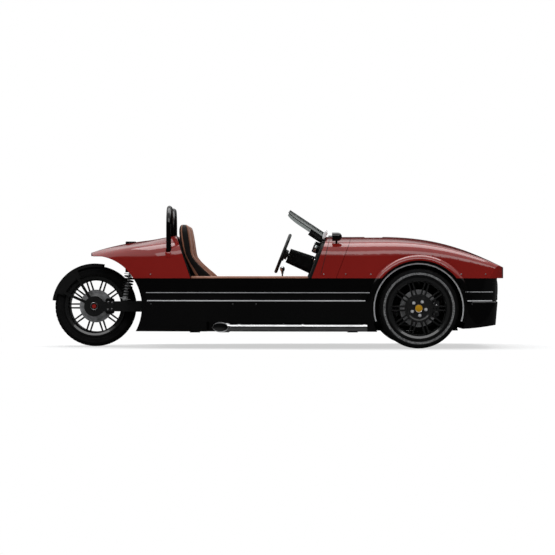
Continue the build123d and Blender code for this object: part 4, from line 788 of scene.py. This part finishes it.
def dress_headlamps():
    """Chrome bowl, lens, bezel and projector in each headlamp."""
    low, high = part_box("headlamps")
    radius = (high.z - low.z) / 2
    for side, sign in SIDE_SIGN.items():
        centre = Vector((high.x, sign * (high.y - radius), (high.z + low.z) / 2))
        for name, profile, segments, material, slot, closed in LAMP_PIECES:
            piece = turned_piece(name + side, centre, AHEAD, scaled(profile, radius), segments, material,
                                 "chassis", slot, closed)
            if piece.name == "headlamp_bowl_left":
                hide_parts("headlamps")


dress_headlamps()


# Cockpit

DASH_RAKE = math.radians(21.0)
DASH_NORMAL = Vector((math.cos(DASH_RAKE), 0, -math.sin(DASH_RAKE)))
DASH_UP = Vector((math.sin(DASH_RAKE), 0, math.cos(DASH_RAKE)))
DASH_ORIGIN = Vector((0.268, 0, BELT_Z)) - DASH_NORMAL * 0.018


def on_dash(turn):
    """Direction in the dash panel at a turn, as seen from the seats."""
    return Vector((0, -math.cos(turn), 0)) + DASH_UP * math.sin(turn)


def dress_gauges():
    """Bezel, dial with marks, and needle on each instrument pod."""
    # columns: Y, height up the panel, radius, stand-off
    pods = ((0.338, 0.258, 0.048, 0.042), (0.0, 0.240, 0.0346, 0.0302), (-0.095, 0.240, 0.0264, 0.0231),
            (0.095, 0.240, 0.0264, 0.0231))
    bezel = ((0.80, 0.0), (0.93, 0.0), (0.95, 0.004), (0.88, 0.007), (0.80, 0.005))
    dial = ((0.82, 0.0004), (0.80, 0.0012), (0.0, 0.0012))
    mark_end, long_mark, short_mark = 0.74, 0.16, 0.09
    back = -DASH_NORMAL
    bezels, dials, marks = bmesh.new(), bmesh.new(), bmesh.new()
    for y, height, radius, proud in pods:
        centre = DASH_ORIGIN + DASH_UP * height + Vector((0, y, 0)) + back * proud
        add_turned(bezels, centre, back, scaled(bezel, radius), 48, closed=True)
        add_turned(dials, centre, back, scaled(dial, radius), 40)
        mark_level, needle_level = centre + back * 0.0016, centre + back * 0.0022
        for index, turn in enumerate(sweep(225, -45, 24)):
            out = on_dash(turn) * radius
            start = mark_end - (long_mark if index % 3 == 0 else short_mark)
            add_tube(marks, [mark_level + out * start, mark_level + out * mark_end], radius * 0.014, 5)
        needle = on_dash(math.radians(215)) * radius
        add_tube(marks, [needle_level - needle * 0.12, needle_level + needle * 0.6], radius * 0.022, 6)
    add_piece("gauge_bezels", bezels, CHROME, "chassis", "bright_chrome")
    add_piece("gauge_dials", dials, DIAL, "chassis", "trim_black")
    add_piece("gauge_marks", marks, MARK, "chassis")


def dress_switches():
    """Row of toggle switches below the middle dials."""
    back = -DASH_NORMAL
    collar = [(0.0, -0.001), (0.011, -0.001), (0.011, 0.003), (0.007, 0.007), (0.0, 0.007)]
    toggles = bmesh.new()
    for y in spread(-0.11, 0.11, 4):
        base = DASH_ORIGIN + DASH_UP * 0.150 + Vector((0, y, 0))
        add_turned(toggles, base, back, collar, 20)
        add_tube(toggles, [base + back * 0.006, base + back * 0.022 + DASH_UP * 0.006], 0.0026, 10)
        add_ball(toggles, base + back * 0.023 + DASH_UP * 0.0064, 0.0038)
    add_piece("toggle_switches", toggles, CHROME, "chassis", "bright_chrome")


def dress_steering():
    """Horn pad, its screws and grip stitching on the steering wheel."""
    axis, side, up = basis(STEER_AXIS)
    pad_base = STEER_HUB - axis * 0.0135
    pad = [(0.0, 0.0005), (0.038, 0.0005), (0.0395, 0.004), (0.036, 0.010), (0.030, 0.0125), (0.0, 0.0135)]
    turned_piece("horn_pad", pad_base, axis, pad, 48, PLASTIC, "steering", "black_plastic")
    screws = bmesh.new()
    for turn in sweep(30, 330, 5):
        out = side * math.cos(turn) + up * math.sin(turn)
        add_fastener(screws, pad_base + out * 0.0335 + axis * 0.011, axis, 0.0028, 0.0022)
    add_piece("horn_screws", screws, STEEL, "steering", "shaft_steel")
    stitch = bmesh.new()
    ring_r, grip, stitches = 0.1615, 0.0138, 150
    for c, s in circle(stitches):
        out = side * c + up * s
        along = up * c - side * s
        inner = STEER_HUB + out * (ring_r - grip * 0.93) + axis * grip * 0.36
        reach = along * 0.0016 + axis * 0.0018
        add_tube(stitch, [inner - reach, inner + reach], 0.0006, 5)
    add_piece("wheel_stitching", stitch, STRIPE, "steering")


def dress_pedals():
    """Brake and throttle pedals that hang from the firewall, with ribbed faces."""
    wall_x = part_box("firewall")[0].x
    ribs, pad_slope = 6, 0.35
    pedals = bmesh.new()
    # columns: Y, width, height of the pad
    for y, width, tall in ((0.40, 0.075, 0.060), (0.27, 0.050, 0.130)):
        foot = Vector((wall_x - 0.10, y, 0.285))
        arm = [(wall_x + 0.001, y, 0.45), (wall_x - 0.05, y, 0.42), foot + Vector((0.01, 0, 0.03)),
               foot + Vector((0.004, 0, 0.0))]
        add_tube(pedals, arm, 0.008, 12)
        for index in range(ribs):
            z = foot.z - tall / 2 + tall * (index + 0.5) / ribs
            x = foot.x + (z - foot.z) * pad_slope
            add_tube(pedals, [(x, y - width / 2, z), (x, y + width / 2, z)], tall / 13, 8)
    add_piece("pedals", pedals, ALLOY, "chassis", "rail_alloy")


def add_screen_clamps():
    """Oval bright clamp at each end of the screen rail."""
    rail_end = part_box("screen_rail")[1].y
    lean = math.radians(24.0)
    up = Vector((math.sin(lean), 0, math.cos(lean))) * 0.039
    ahead = Vector((math.cos(lean), 0, -math.sin(lean))) * 0.0135
    centre = Vector((0.378, 0, 0.903))
    # columns: share of the oval's radii, distance out from the rail's end
    profile = ((0.0, 0.007), (0.55, 0.007), (0.85, 0.005), (1.0, 0.0), (1.0, -0.016), (0.0, -0.016))
    clamps = bmesh.new()
    for sign in (1, -1):
        rows = []
        for c, s in circle(48):
            rim = ahead * c + up * s
            rows.append([centre + rim * max(share, 0.001) + Vector((0, sign * (rail_end + out), 0))
                         for share, out in profile])
        add_grid(clamps, rows, close_rows=True)
    add_piece("screen_clamps", clamps, WHITE_METAL, "chassis", "rail_alloy")


def add_gear_knob():
    """Turned bright knob over the lever's ball, with a collar."""
    low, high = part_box("gear_lever")
    centre = Vector(((low.x + high.x) / 2, 0, high.z - 0.018))
    knob = [(0.0065, -0.040), (0.010, -0.038), (0.010, -0.024), (0.0135, -0.020), (0.0195, -0.008),
            (0.0200, 0.004), (0.0165, 0.014), (0.009, 0.0192), (0.0, 0.0198)]
    turned_piece("gear_knob", centre, UP, knob, 40, CHROME, "chassis", "bright_chrome")


def trim_section(low_z, high_z, share, pleat):
    """Loop of offset and Z around one padded card: outer face, rolled top, sewn line, padded face."""
    outer, inner, roll, pad = -0.0506, -0.0940, 0.0217, 0.010
    loop = [(outer, low_z), (outer, (low_z + high_z) / 2)]
    for turn in sweep(0, 180, 12):
        loop.append((outer - roll + roll * math.cos(turn), high_z - roll + roll * math.sin(turn)))
    seam_z = high_z - 0.046
    loop += [(inner + 0.004, seam_z + 0.006), (inner + pad, seam_z)]
    steps = 17
    for step in range(1, steps):
        crown = math.sin(math.pi * step / steps) ** 0.35
        z = seam_z + (low_z - seam_z) * step / steps
        loop.append((inner + pad - pad * crown * (1 - pleat), z))
    loop.append((inner + 0.012, low_z))
    return [(offset, low_z + (z - low_z) * share) for offset, z in loop]


def add_trim_cards():
    """Leather cards along both inner walls, sewn in upright channels under a rolled sill."""
    low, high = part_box("cockpit_trims")
    steps, channel = 240, 0.058
    rear_lean, dash_foot_z, dash_gap = 0.34, 0.44, 0.011
    for side, sign in SIDE_SIGN.items():
        rows = []
        for index, x in enumerate(spread(low.x, high.x, steps)):
            pleat = 1.0 - abs(math.sin(math.pi * (x - low.x) / channel)) ** 0.45
            end = min(index, steps - index)
            share = 1.0 if end > 3 else 0.97 + 0.01 * end
            along = index / steps
            row = []
            for offset, z in trim_section(low.z, high.z, share, 0.55 * pleat):
                shear = max(z - dash_foot_z, 0.0) * math.tan(DASH_RAKE) * along + dash_gap * along
                shear -= (z - low.z) * rear_lean * (1 - along)
                row.append(Vector((x + shear, sign * flank(x + shear, offset), z)))
            rows.append(row)
        builder = bmesh.new()
        add_loft(builder, rows)
        card = add_piece("trim_card_" + side, builder, TAN, "chassis", "tan_leather", 60.0)
        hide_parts("cockpit_trims")


dress_gauges()
dress_switches()
dress_steering()
dress_pedals()
add_screen_clamps()
add_gear_knob()
add_trim_cards()


# Seats

SEAT_Y = 0.338
# sewn channels in half a seat's width
CHANNELS = 3.5


def seat_section(builder, stations, material_of):
    """Padded form from stations: centre, normal, half width, half thickness, pleat depth, crown."""
    sides = 96
    pleat_end, bolster_from, bolster = 0.74, 0.70, 0.020
    rows = []
    for centre, normal, half, thick, pleat, crown in stations:
        row = []
        for c, s in circle(sides):
            across = math.copysign(abs(c) ** 0.45, c) * half
            depth = math.copysign(abs(s) ** 0.6, s) * thick
            if s > 0:
                share = abs(across) / half
                channel = abs(math.sin(math.pi * CHANNELS * across / half)) ** 0.5
                depth += crown * (1 - share ** 2) * s
                depth += pleat * (channel - 1) * (1.0 if share < pleat_end else 0.0)
                depth += bolster * max(0.0, (share - bolster_from) / (1 - bolster_from)) * s if pleat else 0.0
            row.append(Vector(centre) + Vector((0, across, 0)) + Vector(normal) * depth)
        rows.append(row)
    add_loft(builder, rows, lambda i, j: material_of((j + 0.5) / sides))


def bend(points, count):
    """Smooth path through points, with its tangents, in the side view."""
    path = []
    padded = [points[0] * 2 - points[1], *points, points[-1] * 2 - points[-2]]
    spans = len(points) - 1
    for index in range(count + 1):
        t = index / count * spans
        span = min(int(t), spans - 1)
        u = t - span
        a, b, c, d = padded[span:span + 4]
        slope = 0.5 * ((c - a) + 2 * (2 * a - 5 * b + 4 * c - d) * u + 3 * (3 * b - a - 3 * c + d) * u * u)
        path.append((spline(a, b, c, d, u), slope.normalized()))
    return path


def add_pad(name, spine, half, thick, crown, side, ends):
    """One padded piece along a side-view spine of X and Z points."""
    middle = Vector((0, SIDE_SIGN[side] * SEAT_Y, 0))
    pleat = 0.009
    path = bend([Vector((x, 0, z)) for x, z in spine], 44)
    stations = []
    for index, (place, slope) in enumerate(path):
        share = index / (len(path) - 1)
        near = min(share, 1 - share)
        swell = min(1.0, math.sqrt(max(near, 0.0) / ends + 0.004)) if near < ends else 1.0
        normal = Vector((-slope.z, 0, slope.x))
        normal = normal if normal.x + normal.z > 0 else -normal
        pull = 1.0 - 0.02 * math.sin(math.pi * share)
        stations.append((place + middle, normal, half * pull * (0.9 + 0.1 * swell),
                         thick * (0.25 + 0.75 * swell), pleat * swell, crown * swell))
    builder = bmesh.new()
    seat_section(builder, stations, lambda turn: 0 if 0.045 < turn < 0.455 else 1)
    piece = add_piece(name, builder, [TAN, DARK_LEATHER], "chassis", "tan_leather", 60.0)
# columns: Z, rear X, front X at the bolsters, dish of the middle, half width
BACK_ROWS = (
    (0.360, -0.612, -0.420, 0.060, 0.232),
    (0.430, -0.632, -0.400, 0.070, 0.246),
    (0.500, -0.660, -0.420, 0.070, 0.249),
    (0.573, -0.690, -0.478, 0.070, 0.250),
    (0.630, -0.711, -0.551, 0.058, 0.250),
    (0.683, -0.731, -0.616, 0.044, 0.250),
    (0.735, -0.751, -0.660, 0.032, 0.249),
    (0.790, -0.768, -0.672, 0.026, 0.247),
    (0.854, -0.780, -0.681, 0.018, 0.243),
    (0.920, -0.788, -0.693, 0.012, 0.235),
    (0.955, -0.786, -0.703, 0.007, 0.224),
    (0.975, -0.779, -0.714, 0.003, 0.208),
    (0.984, -0.768, -0.728, 0.000, 0.190),
)


def back_row(height):
    """Values of the seat back between the rows above, on a smooth curve."""
    spans = len(BACK_ROWS) - 1
    span = min(int(height * spans), spans - 1)
    u = height * spans - span
    near = [BACK_ROWS[min(max(span + step, 0), spans)] for step in (-1, 0, 1, 2)]
    return [spline(a, b, c, d, u) for a, b, c, d in zip(*near)]


def add_seat_back(name, side):
    """Dished back with bolsters, sewn upright channels, dark sides and a bound rear edge."""
    middle_y = SIDE_SIGN[side] * SEAT_Y
    sides, levels = 112, 64
    pleat, pleat_end = 0.008, 0.70
    rows = []
    for level in range(levels + 1):
        z, rear, front, dish, half = back_row(level / levels)
        row = []
        for c, s in circle(sides, 0.5):
            across = math.copysign(abs(c) ** 0.4, c)
            x = (rear + front) / 2 + (front - rear) / 2 * math.copysign(abs(s) ** 0.55, s)
            if s > 0:
                share = abs(across)
                channel = abs(math.sin(math.pi * CHANNELS * across / pleat_end)) ** 0.5
                x -= dish * max(1 - share ** 2.4, 0.0)
                x -= pleat * (1 - channel) * (1.0 if share < pleat_end else 0.0) * min(dish / 0.012, 1.0)
            row.append(Vector((x, middle_y + across * half, z)))
        rows.append(row)

    def material_of(_, k):
        """Tan front face and rear binding, dark elsewhere."""
        turn = (k + 0.5) / sides
        edge = min(abs(turn - 0.545), abs(turn - 0.955))
        return 0 if 0.05 < turn < 0.45 or edge < 0.022 else 1

    builder = bmesh.new()
    add_loft(builder, rows, material_of)
    piece = add_piece(name, builder, [TAN, DARK_LEATHER], "chassis", "tan_leather", 60.0)
    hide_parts("seat_" + side)


def add_piping(name, side):
    """Rolled piping along both front edges of a seat back."""
    middle_y = SIDE_SIGN[side] * SEAT_Y
    builder = bmesh.new()
    for edge in (-1, 1):
        points = []
        for level in range(6, 61):
            z, rear, front, _, half = back_row(level / 64)
            points.append(Vector((front - (front - rear) * 0.16, middle_y + edge * half * 0.985, z)))
        add_tube(builder, points, 0.0045, 8)
    add_piece(name, builder, TAN, "chassis", "tan_leather")


def add_seat_base(name, side):
    """Dark bevelled box under a cushion."""
    low_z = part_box("seat_" + side)[0].z
    middle_y = SIDE_SIGN[side] * SEAT_Y
    rows = []
    # columns: Z, growth of the front and the sides
    for z, grow in ((low_z, 0.0), (0.26, 0.0), (0.285, -0.01)):
        rear, front = -0.53 - 0.2 * (z - low_z), -0.10 + grow
        half = 0.235 + grow
        corners = ((rear, -half), (front, -half), (front, half), (rear, half))
        rows.append([Vector((x, middle_y + y, z)) for x, y in corners])
    base = bmesh.new()
    add_loft(base, rows)
    bmesh.ops.bevel(base, geom=list(base.edges), offset=0.012, segments=3, affect="EDGES")
    add_piece(name, base, TRIM, "chassis", "trim_black")


CUSHION_SPINE = ((-0.500, 0.330), (-0.40, 0.318), (-0.25, 0.326), (-0.13, 0.342), (-0.085, 0.345))
for side in ("left", "right"):
    add_seat_back("seat_back_" + side, side)
    add_pad("seat_cushion_" + side, CUSHION_SPINE, 0.246, 0.056, 0.016, side, 0.09)
    add_seat_base("seat_base_" + side, side)
    add_piping("seat_piping_" + side, side)


# Stage, light and camera

def add_floor():
    """Wide floor just below the tyres."""
    builder = bmesh.new()
    bmesh.ops.create_grid(builder, x_segments=2, y_segments=2, size=60.0)
    mesh = bpy.data.meshes.new("floor")
    builder.to_mesh(mesh)
    builder.free()
    floor = bpy.data.objects.new("floor", mesh)
    floor.location = (0, 0, -0.0004)
    bpy.context.scene.collection.objects.link(floor)
    mesh.materials.append(floor_material())


def mix(tree, share, first, second):
    """Shader that goes from the first to the second by a share."""
    return add_node(tree, "MixShader", {"Fac": share, 1: first, 2: second}).outputs["Shader"]


def emission(tree, strength):
    return add_node(tree, "Emission", {}, Strength=strength).outputs["Emission"]


def background(tree, color, strength):
    return add_node(tree, "Background", {}, Color=(*color, 1.0), Strength=strength).outputs["Background"]


def math_node(tree, operation, *terms):
    """Result of an operation on outputs and plain numbers."""
    node = tree.nodes.new("ShaderNodeMath")
    node.operation = operation
    for socket, term in zip(node.inputs, terms):
        if isinstance(term, float):
            socket.default_value = term
        else:
            tree.links.new(term, socket)
    return node.outputs["Value"]


def floor_material():
    """Pale floor that keeps the car's shadow, reads as white away from it and is dark to gloss."""
    material = new_material("floor_white", (0.38, 0.38, 0.38), 0.9, 0.0, Specular_IOR_Level=0.0)
    tree = material.node_tree
    matt = shader_of(material).outputs["BSDF"]
    path = add_node(tree, "LightPath", {}).outputs
    away = add_node(tree, "VectorMath", {0: own_space(tree, (0.40, 0.62, 1.0))})
    away.operation = "LENGTH"
    fade = add_node(tree, "MapRange", {"Value": away.outputs["Value"]}, From_Min=0.80, From_Max=1.30)
    fade.interpolation_type = "SMOOTHSTEP"
    lifted = add_node(tree, "AddShader", {0: matt, 1: emission(tree, 0.60)}).outputs["Shader"]
    seen = mix(tree, fade.outputs["Result"], lifted, emission(tree, 1.0))
    lit = mix(tree, path["Is Glossy Ray"], matt, emission(tree, 0.05))
    final = mix(tree, path["Is Camera Ray"], lit, seen)
    tree.links.new(final, tree.nodes["Material Output"].inputs["Surface"])
    return material


def add_world():
    """White to the camera and through glass, dark low and pale high to gloss, softer as a light."""
    world = bpy.data.worlds.new("studio")
    bpy.context.scene.world = world
    world.use_nodes = True
    tree = world.node_tree
    tree.nodes.clear()
    path = add_node(tree, "LightPath", {}).outputs
    place = add_node(tree, "TexCoord", {}).outputs["Generated"]
    axes = add_node(tree, "SeparateXYZ", {"Vector": place}).outputs
    behind = math_node(tree, "MAXIMUM", axes["Y"], 0.0)
    height = math_node(tree, "MULTIPLY_ADD", behind, 0.34, axes["Z"])
    tones = tone_ramp(tree, height, ((0.50, (0.02, 0.02, 0.02)), (0.60, (0.74, 0.74, 0.74))))
    mirrored = add_node(tree, "Background", {"Color": tones}).outputs["Background"]
    light = background(tree, (0.96, 0.98, 1.0), 0.58)
    gloss = mix(tree, path["Is Glossy Ray"], light, mirrored)
    clear = math_node(tree, "MAXIMUM", path["Is Camera Ray"], path["Is Transmission Ray"])
    seen = mix(tree, clear, gloss, background(tree, (1.0, 1.0, 1.0), 1.0))
    add_node(tree, "OutputWorld", {"Surface": seen})


def add_softbox(name, place, target, size, power, mirrored=True):
    """Area light aimed at a target, hidden from the camera."""
    lamp = bpy.data.lights.new(name, "AREA")
    lamp.shape = "RECTANGLE"
    lamp.size, lamp.size_y = size
    lamp.energy = power
    holder = bpy.data.objects.new(name, lamp)
    holder.location = place
    aim = Vector(target) - Vector(place)
    holder.rotation_euler = aim.to_track_quat("-Z", "Y").to_euler()
    holder.visible_camera = False
    holder.visible_glossy = mirrored
    bpy.context.scene.collection.objects.link(holder)


def add_camera():
    """Long lens square to the car's right side."""
    lens = bpy.data.cameras.new("camera")
    lens.sensor_width = 36.0
    lens.lens = 164.6
    lens.clip_end = 200.0
    camera = bpy.data.objects.new("camera", lens)
    camera.location = (0.0, -20.8, 0.562)
    camera.rotation_euler = (math.radians(90), 0, 0)
    bpy.context.scene.collection.objects.link(camera)
    bpy.context.scene.camera = camera


add_floor()
add_world()
add_softbox("key_box", (0.0, -5.8, 6.0), (0.0, -0.6, 0.6), (11.0, 2.6), 150)
add_softbox("top_box", (0.0, 0.8, 5.0), (0.0, 0.2, 0.6), (7.0, 3.0), 200)
add_softbox("far_box", (0.0, 5.5, 4.0), (0.0, 0.0, 0.6), (8.0, 2.0), 130, False)
add_camera()

bpy.context.scene.view_settings.view_transform = "Standard"
